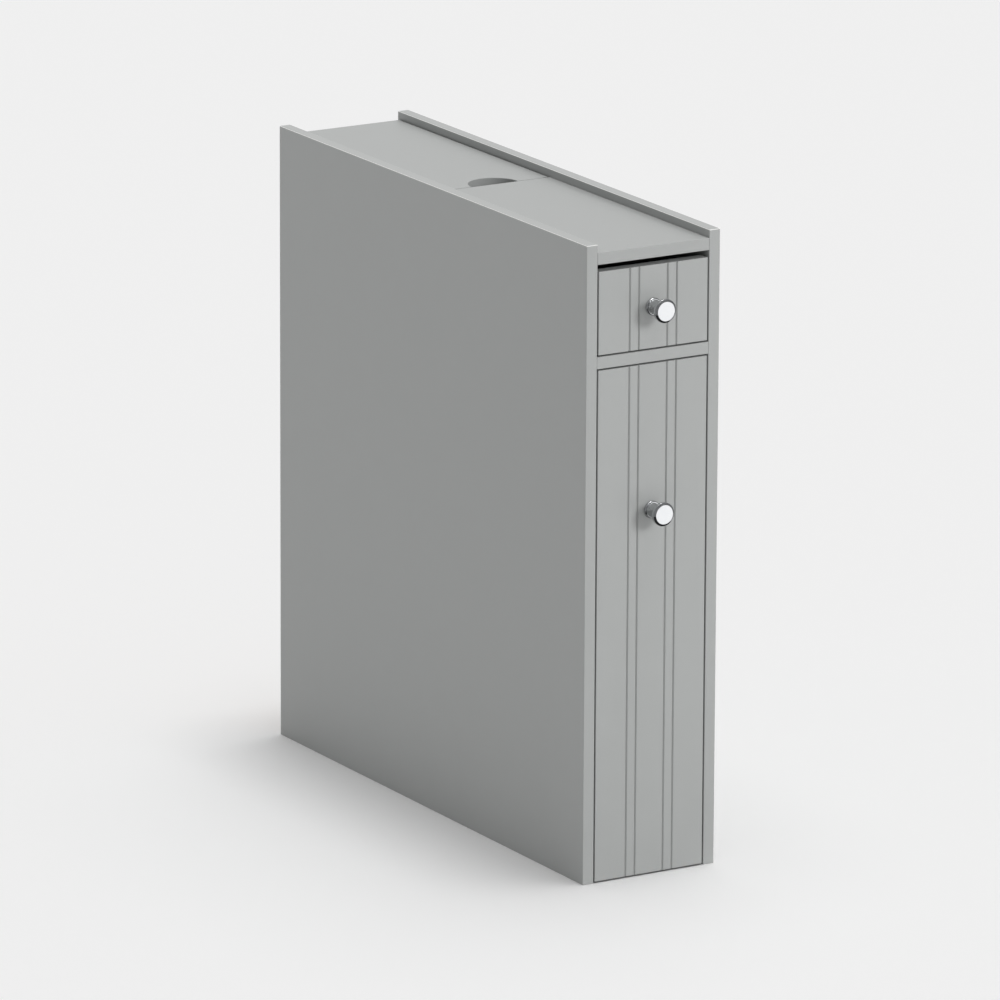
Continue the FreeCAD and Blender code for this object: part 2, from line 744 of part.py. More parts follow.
# Drawer fasteners: dowels from the front into the sides, screws through the sides into the back
box_rows = [runner_middle - s.box_joint_low, box_top - s.box_joint_drop]
copies("drawer_dowels", dowel, [(x, s.board - blind, z, "+y") for x in box_columns for z in box_rows])
drawer_front.drill("rear", [(x, z) for x in box_columns for z in box_rows], dowel_hole, blind + s.fit)
for side_board, column in zip((box_left, box_right), box_columns):
    side_board.drill("front", [(column, z) for z in box_rows], dowel_hole, s.dowel_length - blind + s.fit)
back_line = drawer_rear - s.board / 2
side_seat = s.board - s.runner_recess
box_screw = wood_screw("box_screw", side_seat + s.screw_bite)
box_screw_spots = []
for z in box_rows:
    box_screw_spots.append((front_left + s.runner_recess, back_line, z, "-x"))
    box_screw_spots.append((front_right - s.runner_recess, back_line, z, "+x"))
copies("drawer_screws", box_screw, box_screw_spots)
for side_board, outer_face, back_face in ((box_left, "left", "left"), (box_right, "right", "right")):
    side_board.drill(outer_face, [(back_line, z) for z in box_rows], screw_hole)
    side_board.drill(outer_face, [(back_line, z) for z in box_rows], screw_recess_width, s.runner_recess)
    box_back.drill(back_face, [(back_line, z) for z in box_rows], screw_hole, s.screw_bite + s.fit)

# Rack boards: front, base, two shelves and the rear upright
rack_front = grooved_front("rack_front", s.floor_gap, rack_front_top, rack_knob_height)
rack_length = upright_front - s.board
tiers = {"rack_base": rack_low, "rack_lower_shelf": lower_shelf_low, "rack_upper_shelf": upper_shelf_low}
shelves = [Board(label, (front_left, s.board, low), (front_width, rack_length, s.board))
           for label, low in tiers.items()]
upright = Board("rack_upright", (front_left, upright_front, rack_low),
                (front_width, s.board, rack_top - rack_low))

# Rack joints: cam fittings into the front, screws through the upright, counterbored flush
rack_cam_columns = [middle - s.rack_cam_spread, middle + s.rack_cam_spread]
rack_screw_columns = [middle - s.rack_screw_spread, middle + s.rack_screw_spread]
rack_bolt_spots = []
rack_cam_spots = []
rack_screw_spots = []
for shelf in shelves:
    low = shelf.corner[2]
    joint_height = low + s.board / 2
    cam_points = [(x, joint_height) for x in rack_cam_columns]
    screw_points = [(x, joint_height) for x in rack_screw_columns]
    rack_bolt_spots += [(x, s.board - blind, z, "+y") for x, z in cam_points]
    rack_cam_spots += [(x, s.board + s.cam_backset, low, "mouth front") for x in rack_cam_columns]
    rack_screw_spots += [(x, rack_rear - s.runner_recess, z, "+y") for x, z in screw_points]
    shelf.drill("front", cam_points, bolt_bore, s.cam_backset)
    shelf.drill("bottom", [(x, s.board + s.cam_backset) for x in rack_cam_columns], cam_hole,
                s.board - s.cam_floor)
    shelf.drill("rear", screw_points, screw_hole, s.long_screw_bite + s.fit)
rack_front.drill("rear", [(x, z) for x, y, z, turn in rack_bolt_spots], bolt_hole, blind + s.fit)
upright.drill("rear", [(x, z) for x, y, z, turn in rack_screw_spots], screw_hole)
upright.drill("rear", [(x, z) for x, y, z, turn in rack_screw_spots], screw_recess_width, s.runner_recess)
copies("rack_cam_bolts", cam_bolt, rack_bolt_spots)
copies("rack_cam_discs", cam, rack_cam_spots)
rack_screw = wood_screw("rack_screw", side_seat + s.long_screw_bite)
copies("rack_screws", rack_screw, rack_screw_spots)

# Guard rails: two steel rods over each tier, held in blind holes of the front and the upright
guard_radius = s.guard_diameter / 2
guard_length = rack_length + s.guard_bite * 2 - s.fit * 2
guard_columns = {"left": front_left + s.guard_inset, "right": front_right - s.guard_inset}
guard_names = ("base", "lower", "upper")
for shelf, tier in zip(shelves, guard_names):
    guard_height = shelf.corner[2] + s.board + s.guard_rise
    for side, column in guard_columns.items():
        label = f"{tier}_{side}_guard_rail"
        rod = turned(label, [(0, 0), (guard_radius, 0), (guard_radius, guard_length), (0, guard_length)])
        place(keep(rod, label), column, s.board - s.guard_bite + s.fit, guard_height, "+y")
    guard_points = [(column, guard_height) for column in guard_columns.values()]
    rack_front.drill("rear", guard_points, s.guard_diameter + s.fit * 2, s.guard_bite)
    upright.drill("front", guard_points, s.guard_diameter + s.fit * 2, s.guard_bite)

# Nylon glides on the rack's edges, which keep it clear of the side panels
glide = button("glide", s.front_gap - s.running_gap)
base_row = rack_low + s.board / 2
base_glides = [(s.board + s.glide_inset, base_row), (upright_front - s.glide_inset, base_row)]
upright_glides = [(upright_front + s.board / 2, rack_top - s.glide_drop)]
glide_spots = []
for y, z in base_glides + upright_glides:
    glide_spots.append((front_left, y, z, "-x"))
    glide_spots.append((front_right, y, z, "+x"))
copies("rack_glides", glide, glide_spots)
for face in ("left", "right"):
    shelves[0].drill(face, base_glides, stem_hole, s.stem_length + s.fit)
    upright.drill(face, upright_glides, stem_hole, s.stem_length + s.fit)

# Castors: pressed steel bracket, riveted axle and moulded wheel, two at each end of the rack base
axle_height = s.wheel_diameter / 2
bracket_width = s.wheel_width + s.wheel_side_gap * 2 + s.bracket_sheet * 2
cheek_low = axle_height - s.cheek_round
plate_low = rack_low - s.bracket_sheet - cheek_low
axle_line = s.bracket_length / 2
bend_share = 0.9
bend_round = s.bracket_sheet * bend_share
wheel_bore = s.axle_diameter / 2 + s.shaft_play
wheel_radius = s.wheel_diameter / 2
dish_top = s.wheel_width - s.wheel_dish
wheel_outline = [
    (wheel_bore, 0),
    (s.wheel_hub / 2, 0),
    (s.wheel_hub / 2, s.wheel_dish),
    (s.wheel_web / 2, s.wheel_dish),
    (s.wheel_web / 2, 0),
    (wheel_radius - s.wheel_shoulder, 0, s.wheel_shoulder, 1),
    (wheel_radius, s.wheel_shoulder),
    (wheel_radius, s.wheel_width - s.wheel_shoulder, s.wheel_shoulder, 1),
    (wheel_radius - s.wheel_shoulder, s.wheel_width),
    (s.wheel_web / 2, s.wheel_width),
    (s.wheel_web / 2, dish_top),
    (s.wheel_hub / 2, dish_top),
    (s.wheel_hub / 2, s.wheel_width),
    (wheel_bore, s.wheel_width),
]


def castor_bracket(label):
    """A plate with two cheeks bent down from it in rounded bends, bored for the axle and for two screws."""
    bracket = keep(new_body(label), label)
    plate_sketch = new_sketch(bracket, "XY_Plane", plate_low)
    draw(plate_sketch, [(0, 0), (bracket_width, 0), (bracket_width, s.bracket_length), (0, s.bracket_length)])
    pad(bracket, plate_sketch, s.bracket_sheet)
    for offset in (None, bracket_width - s.bracket_sheet):
        cheek_sketch = new_sketch(bracket, "YZ_Plane", offset)
        draw(cheek_sketch, [
            (axle_line - s.cheek_round, s.cheek_round, s.cheek_round, 1),
            (axle_line, 0, s.cheek_round, 1),
            (axle_line + s.cheek_round, s.cheek_round),
            (axle_line + s.cheek_length / 2, plate_low),
            (axle_line - s.cheek_length / 2, plate_low),
        ])
        bent = pad(bracket, cheek_sketch, s.bracket_sheet)
    ease(bracket, bent, lambda edge: edge.BoundBox.ZMin > plate_low.value + s.fit.value
         and edge.BoundBox.YLength > s.cheek_length.value, bend_round)
    axle_sketch = new_sketch(bracket, "YZ_Plane")
    draw_circles(axle_sketch, [(axle_line, s.cheek_round)], s.axle_diameter + s.fit * 2)
    cut(bracket, axle_sketch, reverse=True)
    screw_sketch = new_sketch(bracket, "XY_Plane", plate_low)
    screw_rows = [axle_line - s.bracket_screw_spread, axle_line + s.bracket_screw_spread]
    draw_circles(screw_sketch, [(bracket_width / 2, row) for row in screw_rows], screw_hole)
    cut(bracket, screw_sketch, reverse=True)
    return bracket


castor_columns = {"left": front_left + s.castor_side, "right": front_right - s.castor_side}
castor_rows = {"front": s.board + s.castor_end, "rear": upright_front - s.castor_end}
axle_spots = []
castor_screw_points = []
for end, row in castor_rows.items():
    for side, column in castor_columns.items():
        bracket = castor_bracket(f"{end}_{side}_castor_bracket")
        place(bracket, column - bracket_width / 2, row - axle_line, cheek_low)
        wheel_label = f"{end}_{side}_wheel"
        wheel = keep(turned(wheel_label, wheel_outline), wheel_label)
        place(wheel, column - s.wheel_width / 2, row, axle_height, "+x")
        axle_spots.append((column - bracket_width / 2, row, axle_height, "+x"))
        for spread in (s.bracket_screw_spread * -1, s.bracket_screw_spread):
            castor_screw_points.append((column, row + spread))
axle_radius = s.axle_diameter / 2
head_radius = s.axle_head / 2
axle = turned("castor_axle", [
    (0, s.axle_head_height * -1),
    (head_radius, s.axle_head_height * -1),
    (head_radius, 0),
    (axle_radius, 0),
    (axle_radius, bracket_width),
    (head_radius, bracket_width),
    (head_radius, bracket_width + s.axle_head_height),
    (0, bracket_width + s.axle_head_height),
])
copies("castor_axles", axle, axle_spots)
castor_screw = wood_screw("castor_screw", s.bracket_sheet + s.screw_bite)
castor_seat = rack_low - s.bracket_sheet
copies("castor_screws", castor_screw, [(x, y, castor_seat, "-z") for x, y in castor_screw_points])
shelves[0].drill("bottom", castor_screw_points, screw_hole, s.screw_bite + s.fit)

# Knobs: a foot, a waisted neck that runs out into a thick head with a flat face, bored for the screw
foot_radius = s.knob_foot / 2
foot_shoulder = foot_radius - s.knob_foot_round
foot_top = s.knob_foot_rim + s.knob_foot_round
neck_radius = s.knob_neck / 2
head_edge = s.knob_head / 2
head_low = s.knob_length - s.knob_head_height
back_shoulder = head_edge - s.knob_back_round
face_edge = head_edge - s.knob_face_round
bore_radius = s.knob_thread / 2 + s.fit
bore_end = s.knob_thread_bite + s.fit


def waist_radius(width, rise):
    """Radius of the arc that leaves the neck upright and reaches a width and a rise away from it."""
    return (width * width + rise * rise) / (width * 2)


foot_waist = waist_radius(foot_shoulder - neck_radius, s.knob_neck_height - foot_top)
head_waist = waist_radius(back_shoulder - neck_radius, head_low - s.knob_neck_height)
knob_outline = [
    (bore_radius, 0),
    (foot_radius, 0),
    (foot_radius, s.knob_foot_rim, s.knob_foot_round, 1),
    (foot_shoulder, foot_top, foot_waist, -1),
    (neck_radius, s.knob_neck_height, head_waist, -1),
    (back_shoulder, head_low, s.knob_back_round, 1),
    (head_edge, head_low + s.knob_back_round),
    (head_edge, s.knob_length - s.knob_face_round, s.knob_face_round, 1),
    (face_edge, s.knob_length),
    (0, s.knob_length),
    (0, bore_end),
    (bore_radius, bore_end),
]
thread_radius = s.knob_thread / 2
knob_screw_seat = s.board - s.knob_screw_recess
knob_screw_end = (knob_screw_seat + s.knob_thread_bite) * -1
knob_screw_outline = [
    (0, knob_screw_end),
    (thread_radius, knob_screw_end),
    (thread_radius, 0),
    (s.knob_screw_head / 2, 0),
    (s.knob_screw_head / 2, s.knob_screw_head_height - s.screw_head_round, s.screw_head_round, 1),
    (s.knob_screw_head / 2 - s.screw_head_round, s.knob_screw_head_height),
    (0, s.knob_screw_head_height),
]
for owner, height in (("drawer", drawer_knob_height), ("rack", rack_knob_height)):
    knob = keep(turned(f"{owner}_knob", knob_outline), f"{owner}_knob")
    place(knob, middle, zero, height, "-y")
    knob_screw = keep(turned(f"{owner}_knob_screw", knob_screw_outline), f"{owner}_knob_screw")
    place(knob_screw, middle, knob_screw_seat, height, "+y")

doc.recompute()
failed = [item.Name for item in doc.Objects if "Invalid" in item.State or "Error" in item.State]
failed += [item.Label for item in sub_parts if item.Shape.isNull() or not item.Shape.isValid()]
if failed:
    raise RuntimeError(f"failed: {failed}")
os.makedirs("parts", exist_ok=True)
for item in sub_parts:
    item.Shape.exportStep(f"parts/{item.Label}.step")
print(len(sub_parts), "sub-parts written")
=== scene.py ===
import math

import bpy
import numpy as np
from mathutils import Matrix, Vector


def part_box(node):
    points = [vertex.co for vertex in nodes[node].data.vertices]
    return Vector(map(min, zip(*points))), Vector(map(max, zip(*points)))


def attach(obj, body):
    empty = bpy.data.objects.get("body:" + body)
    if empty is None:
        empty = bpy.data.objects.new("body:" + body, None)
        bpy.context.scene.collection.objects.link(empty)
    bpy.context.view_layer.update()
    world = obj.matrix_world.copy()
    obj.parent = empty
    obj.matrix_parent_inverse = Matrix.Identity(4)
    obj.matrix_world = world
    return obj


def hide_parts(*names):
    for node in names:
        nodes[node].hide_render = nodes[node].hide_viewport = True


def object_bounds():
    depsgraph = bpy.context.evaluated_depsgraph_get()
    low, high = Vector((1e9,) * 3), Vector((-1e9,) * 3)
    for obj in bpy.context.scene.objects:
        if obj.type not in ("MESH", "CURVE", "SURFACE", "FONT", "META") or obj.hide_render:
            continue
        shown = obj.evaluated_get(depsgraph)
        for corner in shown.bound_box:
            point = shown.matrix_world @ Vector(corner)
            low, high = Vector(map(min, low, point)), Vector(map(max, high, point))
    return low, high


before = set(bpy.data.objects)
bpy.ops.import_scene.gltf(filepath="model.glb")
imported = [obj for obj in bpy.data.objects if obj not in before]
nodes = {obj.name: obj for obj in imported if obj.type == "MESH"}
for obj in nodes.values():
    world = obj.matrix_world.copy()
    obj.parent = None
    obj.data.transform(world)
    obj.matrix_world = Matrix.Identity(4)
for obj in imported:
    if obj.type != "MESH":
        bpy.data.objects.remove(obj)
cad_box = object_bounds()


# Carcass boards: side panels, fixed top, divider, partition and the two rails at the back.
# They are 12 mm fibreboard, sawn, eased along the edges and sprayed with satin lacquer in a light grey.
# Dowels and cam fittings hold them, so that no fastener shows outside.
MM = 0.001
CARCASS_BOARDS = ("left_side_panel", "right_side_panel", "top_panel", "divider_shelf", "partition",
                  "rear_top_rail", "rear_bottom_rail")
LACQUER = "#A8AAA9"
LACQUER_DEEP = "#A4A6A5"
LACQUER_CLOUD = 60 * MM
LACQUER_GLOSSIEST = 0.40
LACQUER_DULLEST = 0.50
ORANGE_PEEL = 2.2 * MM
ORANGE_PEEL_DEPTH = 0.010 * MM
# Near-white for the side panels' top rims: a painted highlight of their eased edges, and in part rubbed
# primer
PRIMER_AND_RIM_HIGHLIGHT = "#F8F8F6"
PALE_RIM_DEPTH = 0.6 * MM
PALE_RIM_FLAT_SHARE = 0.06
FLAT_FACING = 0.998
EASED_FACING = 0.96
RESIN_IOR = 1.5


def linear(code):
    """An sRGB hex code as linear red, green, blue and alpha."""
    share = np.array([int(code[place:place + 2], 16) for place in (1, 3, 5)]) / 255
    low = share / 12.92
    high = ((share + 0.055) / 1.055) ** 2.4
    return (*np.where(share <= 0.04045, low, high).tolist(), 1.0)


def add(tree, kind, inputs=(), **settings):
    """Adds a node with its settings, and sets each input to a value or links it to a node's output."""
    made = tree.nodes.new(kind)
    for name, value in settings.items():
        setattr(made, name, value)
    for name, value in dict(inputs).items():
        if isinstance(value, bpy.types.NodeSocket):
            tree.links.new(value, made.inputs[name])
        else:
            made.inputs[name].default_value = value
    return made


def new_material(name, **sockets):
    """A material with one Principled shader, whose plain values are set straight on its sockets."""
    made = bpy.data.materials.new(name)
    made.use_nodes = True
    shader = made.node_tree.nodes["Principled BSDF"]
    for socket, value in sockets.items():
        shader.inputs[socket.replace("_", " ")].default_value = value
    return made, made.node_tree, shader


def dress(names, material):
    """Gives CAD nodes their finish."""
    for name in names:
        nodes[name].data.materials.clear()
        nodes[name].data.materials.append(material)


def satin_lacquer():
    """Sprayed satin lacquer: faint clouds of tone, orange peel in the gloss, rims painted as highlight and
    primer.

    Only the rims of the side panels lie in the top PALE_RIM_DEPTH of the cabinet. There the colour goes to
    near white where the surface faces along no axis, which is on the eased edges, and a little on the flat
    between
    them: a painted highlight of those eased edges, and in part primer rubbed through. The orange peel,
    about
    1 mm across, is drawn at twice that, because it is too fine to show otherwise.
    """
    made, tree, shader = new_material("satin_grey_lacquer_on_fibreboard", IOR=RESIN_IOR)
    spot = add(tree, "ShaderNodeTexCoord")
    cloud = add(tree, "ShaderNodeTexNoise", {"Vector": spot.outputs["Object"], "Scale": 1 / LACQUER_CLOUD,
                                             "Detail": 3.0})
    tone = add(tree, "ShaderNodeValToRGB", {"Fac": cloud.outputs["Fac"]})
    tone.color_ramp.elements[0].color = linear(LACQUER_DEEP)
    tone.color_ramp.elements[1].color = linear(LACQUER)
    facing = add(tree, "ShaderNodeVectorMath", {0: spot.outputs["Normal"]}, operation="ABSOLUTE")
    parts = add(tree, "ShaderNodeSeparateXYZ", {0: facing.outputs["Vector"]})
    level = add(tree, "ShaderNodeMath", {0: parts.outputs["X"], 1: parts.outputs["Y"]}, operation="MAXIMUM")
    main = add(tree, "ShaderNodeMath", {0: level.outputs[0], 1: parts.outputs["Z"]}, operation="MAXIMUM")
    edge = add(tree, "ShaderNodeMapRange", {"Value": main.outputs[0], "From Min": FLAT_FACING,
                                            "From Max": EASED_FACING, "To Min": PALE_RIM_FLAT_SHARE})
    place = add(tree, "ShaderNodeSeparateXYZ", {0: spot.outputs["Object"]})
    upper = add(tree, "ShaderNodeMath", {0: place.outputs["Z"], 1: cad_box[1][2] - PALE_RIM_DEPTH},
                operation="GREATER_THAN")
    # The rims are painted near-white: the highlight that the eased edges catch, and in part primer rubbed
    # through
    rim_wear_and_highlight = add(tree, "ShaderNodeMath", {0: edge.outputs["Result"], 1: upper.outputs[0]},
               operation="MULTIPLY")
    colour = add(tree, "ShaderNodeMixRGB", {"Fac": rim_wear_and_highlight.outputs[0], "Color1": tone.outputs["Color"],
                                            "Color2": linear(PRIMER_AND_RIM_HIGHLIGHT)})
    sheen = add(tree, "ShaderNodeMapRange", {"Value": cloud.outputs["Fac"], "To Min": LACQUER_GLOSSIEST,
                                             "To Max": LACQUER_DULLEST})
    peel = add(tree, "ShaderNodeTexNoise", {"Vector": spot.outputs["Object"], "Scale": 1 / ORANGE_PEEL,
                                            "Detail": 1.0})
    relief = add(tree, "ShaderNodeBump", {"Height": peel.outputs["Fac"], "Distance": ORANGE_PEEL_DEPTH,
                                          "Strength": 1.0})
    tree.links.new(colour.outputs["Color"], shader.inputs["Base Color"])
    tree.links.new(sheen.outputs["Result"], shader.inputs["Roughness"])
    tree.links.new(relief.outputs["Normal"], shader.inputs["Normal"])
    return made


# Satin lacquer: an even light grey with a soft sheen, and a thin near-white line painted along the top rims
# as their highlight, in part rubbed primer
lacquer = satin_lacquer()
dress(CARCASS_BOARDS, lacquer)


# Back panel: a 4 mm sheet of hardboard that slides into grooves of the side panels.
# Its inner face carries grey foil. Its rear is left raw: brown pressed fibre with the print of the wire
# screen that it was pressed on.
FOIL = "#B4B6B4"
FOIL_DEEP = "#AFB1AF"
FOIL_ROUGHNESS = 0.45
RAW_FIBRE = "#8C6B4A"
RAW_FIBRE_DARK = "#6E5136"
RAW_ROUGHNESS = 0.85
FIBRE = 5 * MM
FIBRE_DARK_SHARE = 0.3
FIBRE_LIGHT_SHARE = 0.7
SCREEN_PITCH = 2.4 * MM
SCREEN_DEPTH = 0.12 * MM
WAVE_PERIOD = math.pi / 10


def hardboard(name, raw_side, screen_axes):
    """Foil on one face and raw pressed fibre on the other, which faces raw_side.

    The raw face is two browns in flecks of fibre, dented by a square screen that runs along two axes. Foil
    is smooth, with a slight unevenness of tone. At scale 1 the wave texture repeats once in WAVE_PERIOD.
    """
    made, tree, shader = new_material(name, IOR=RESIN_IOR)
    spot = add(tree, "ShaderNodeTexCoord")
    turned = add(tree, "ShaderNodeVectorMath", {0: spot.outputs["Normal"], 1: raw_side},
                 operation="DOT_PRODUCT")
    raw = add(tree, "ShaderNodeMath", {0: turned.outputs["Value"], 1: 0.5}, operation="GREATER_THAN")
    fleck = add(tree, "ShaderNodeTexNoise", {"Vector": spot.outputs["Object"], "Scale": 1 / FIBRE,
                                             "Detail": 8.0, "Roughness": 0.7, "Distortion": 1.5})
    brown = add(tree, "ShaderNodeValToRGB", {"Fac": fleck.outputs["Fac"]})
    brown.color_ramp.elements[0].position = FIBRE_DARK_SHARE
    brown.color_ramp.elements[0].color = linear(RAW_FIBRE_DARK)
    brown.color_ramp.elements[1].position = FIBRE_LIGHT_SHARE
    brown.color_ramp.elements[1].color = linear(RAW_FIBRE)
    tone = add(tree, "ShaderNodeMixRGB", {"Fac": fleck.outputs["Fac"], "Color1": linear(FOIL_DEEP),
                                          "Color2": linear(FOIL)})
    colour = add(tree, "ShaderNodeMixRGB", {"Fac": raw.outputs[0], "Color1": tone.outputs["Color"],
                                            "Color2": brown.outputs["Color"]})
    sheen = add(tree, "ShaderNodeMapRange", {"Value": raw.outputs[0], "To Min": FOIL_ROUGHNESS,
                                             "To Max": RAW_ROUGHNESS})
    bands = [add(tree, "ShaderNodeTexWave", {"Vector": spot.outputs["Object"], "Distortion": 0.4,
                                             "Scale": WAVE_PERIOD / SCREEN_PITCH}, bands_direction=axis)
             for axis in screen_axes]
    screen = add(tree, "ShaderNodeMath", {0: bands[0].outputs["Fac"], 1: bands[1].outputs["Fac"]},
                 operation="MULTIPLY")
    depth = add(tree, "ShaderNodeMath", {0: screen.outputs[0], 1: raw.outputs[0]}, operation="MULTIPLY")
    relief = add(tree, "ShaderNodeBump", {"Height": depth.outputs[0], "Distance": SCREEN_DEPTH,
                                          "Strength": 1.0})
    tree.links.new(colour.outputs["Color"], shader.inputs["Base Color"])
    tree.links.new(sheen.outputs["Result"], shader.inputs["Roughness"])
    tree.links.new(relief.outputs["Normal"], shader.inputs["Normal"])
    return made


dress(["back_panel"], hardboard("foiled_hardboard_raw_behind", (0, 1, 0), "XZ"))


# Dowels: fluted beech pegs of 6 by 25 mm, glued half into each board.
# The flutes are pressed in along the peg, so that glue and air can pass, and both ends are chamfered.
DOWEL_RADIUS = 3 * MM
DOWEL_CHAMFER = 0.7 * MM
FLUTES = 18
FLUTE_DEPTH = 0.22 * MM
COLUMNS_PER_FLUTE = 4
WELD = 0.01 * MM
SHARP_EDGE = math.radians(35)
BEECH = "#CFA777"
BEECH_DARK = "#B78A5A"
BEECH_RING = 1.1 * MM
BEECH_FLECK = 0.5 * MM
BEECH_PORE_DEPTH = 0.05 * MM
BEECH_STRETCH = (1.0, 1.0, 0.08)
BEECH_DARK_SHARE = 0.35
BEECH_LIGHT_SHARE = 0.65


def solids(name):
    """The separate solids of a CAD node, each as an array of its points.

    Points that share a place count as one. Every face hands the lowest label of its corners round, and each
    label takes its own label's label, until nothing changes.
    """
    mesh = nodes[name].data
    points = np.empty(len(mesh.vertices) * 3, np.float32)
    mesh.vertices.foreach_get("co", points)
    points = points.reshape(-1, 3).astype(float)
    corners = np.empty(len(mesh.loops), np.int32)
    mesh.loops.foreach_get("vertex_index", corners)
    place = np.unique(np.round(points / WELD).astype(np.int64), axis=0, return_inverse=True)[1].ravel()
    faces = place[corners].reshape(-1, 3)
    label = np.arange(place.max() + 1)
    settled = False
    while not settled:
        passed = label.copy()
        np.minimum.at(passed, faces, label[faces].min(axis=1)[:, None])
        passed = passed[passed]
        settled = np.array_equal(passed, label)
        label = passed
    owner = label[place]
    return [points[owner == one] for one in np.unique(owner)]


def seat(points):
    """Where a turned solid stands: its narrow end's centre, three directions, axis last, and its length.

    The axis is the longest side of its box, and it runs towards the end that is wider.
    """
    low, high = points.min(axis=0), points.max(axis=0)
    along = int(np.argmax(high - low))
    middle = (low + high) / 2
    offset = np.delete(points - middle, along, axis=1)
    spread = np.hypot(offset[:, 0], offset[:, 1])
    upper = points[:, along] > middle[along]
    forward = 1.0 if spread[upper].max() >= spread[~upper].max() else -1.0
    axis = np.eye(3)[along] * forward
    across = np.eye(3)[(along + 1) % 3]
    foot = middle - axis * (high - low)[along] / 2
    return foot, np.array((across, np.cross(axis, across), axis)), (high - low)[along]


def closed_faces(rows, columns):
    """Faces between rings of points round an axis, closed at each end by a fan to a pole.

    The poles are the two points after the rings. Rings run anticlockwise seen from the last one, so that
    every face points outwards.
    """
    ring = np.arange(rows * columns).reshape(rows, columns)
    after = np.roll(ring, -1, axis=1)
    walls = np.stack((ring[:-1], after[:-1], after[1:], ring[1:]), axis=-1).reshape(-1, 4)
    low = np.stack((np.full(columns, rows * columns), after[0], ring[0]), axis=-1)
    high = np.stack((np.full(columns, rows * columns + 1), ring[-1], after[-1]), axis=-1)
    return walls, np.concatenate((low, high))


def new_piece(name, points, faces, material, body, node, local=None):
    """A mesh piece that rides on a body and stands for a CAD node. Local points, if any, carry grain."""
    mesh = bpy.data.meshes.new(name)
    mesh.from_pydata(points.tolist(), [], [face for group in faces for face in group.tolist()])
    mesh.polygons.foreach_set("use_smooth", np.ones(len(mesh.polygons), bool))
    mesh.set_sharp_from_angle(angle=SHARP_EDGE)
    if local is not None:
        mesh.attributes.new("grain", "FLOAT_VECTOR", "POINT").data.foreach_set("vector", local.ravel())
    mesh.materials.append(material)
    piece = bpy.data.objects.new(name, mesh)
    bpy.context.scene.collection.objects.link(piece)
    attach(piece, body)
    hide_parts(node)
    return piece


def turned_copies(name, node, body, material, shape):
    """One piece for all the turned solids of a node.

    A shape gives radius and height over rows and columns for a length. Each point is radius times the
    cosine and sine of its column's angle, at its height, carried to where that solid stands. The poles lie
    on the axis, at the heights of the first and last rows.
    """
    all_points, all_local, quads, fans = [], [], [], []
    start = 0
    for solid in solids(node):
        foot, directions, length = seat(solid)
        radius, height = shape(length)
        rows, columns = radius.shape
        angle = np.arange(columns) * 2 * np.pi / columns
        rings = np.stack((radius * np.cos(angle), radius * np.sin(angle), height), axis=-1).reshape(-1, 3)
        poles = np.array(((0, 0, height[0].min()), (0, 0, height[-1].mean())))
        local = np.concatenate((rings, poles))
        walls, ends = closed_faces(rows, columns)
        all_points.append(foot + local @ directions)
        all_local.append(local + foot)
        quads.append(walls + start)
        fans.append(ends + start)
        start += len(local)
    return new_piece(name, np.concatenate(all_points), quads + fans, material, body, node,
                     np.concatenate(all_local))


def fluted_peg(length):
    """A peg with chamfered ends and pressed flutes.

    The radius falls by the flute depth where the cosine of FLUTES times the angle peaks, and by the chamfer
    at both ends.
    """
    columns = FLUTES * COLUMNS_PER_FLUTE
    turn = np.arange(columns) * 2 * np.pi / columns
    radius = DOWEL_RADIUS - FLUTE_DEPTH * (0.5 + 0.5 * np.cos(FLUTES * turn)) ** 2
    heights = np.array((0, DOWEL_CHAMFER, length - DOWEL_CHAMFER, length))
    taper = np.array((DOWEL_CHAMFER, 0, 0, DOWEL_CHAMFER))
    return radius[None, :] - taper[:, None], np.repeat(heights[:, None], columns, axis=1)


# Bare beech: warm pinkish tan, with year rings that run along the peg and short dark flecks
beech, beech_tree, beech_shader = new_material("bare_turned_beech", Roughness=0.7, IOR=1.45)
peg_place = add(beech_tree, "ShaderNodeAttribute", attribute_name="grain")
grain = add(beech_tree, "ShaderNodeMapping", {"Vector": peg_place.outputs["Vector"],
                                              "Scale": BEECH_STRETCH})
year_rings = add(beech_tree, "ShaderNodeTexNoise", {"Vector": grain.outputs["Vector"],
                                                    "Scale": 1 / BEECH_RING, "Detail": 4.0,
                                                    "Distortion": 0.6})
flecks = add(beech_tree, "ShaderNodeTexNoise", {"Vector": grain.outputs["Vector"], "Scale": 1 / BEECH_FLECK,
                                                "Detail": 2.0})
wood = add(beech_tree, "ShaderNodeValToRGB", {"Fac": year_rings.outputs["Fac"]})
wood.color_ramp.elements[0].position = BEECH_DARK_SHARE
wood.color_ramp.elements[0].color = linear(BEECH_DARK)
wood.color_ramp.elements[1].position = BEECH_LIGHT_SHARE
wood.color_ramp.elements[1].color = linear(BEECH)
pores = add(beech_tree, "ShaderNodeBump", {"Height": flecks.outputs["Fac"], "Distance": BEECH_PORE_DEPTH})
beech_tree.links.new(wood.outputs["Color"], beech_shader.inputs["Base Color"])
beech_tree.links.new(pores.outputs["Normal"], beech_shader.inputs["Normal"])
turned_copies("fluted_dowels", "dowels", "carcass", beech, fluted_peg)


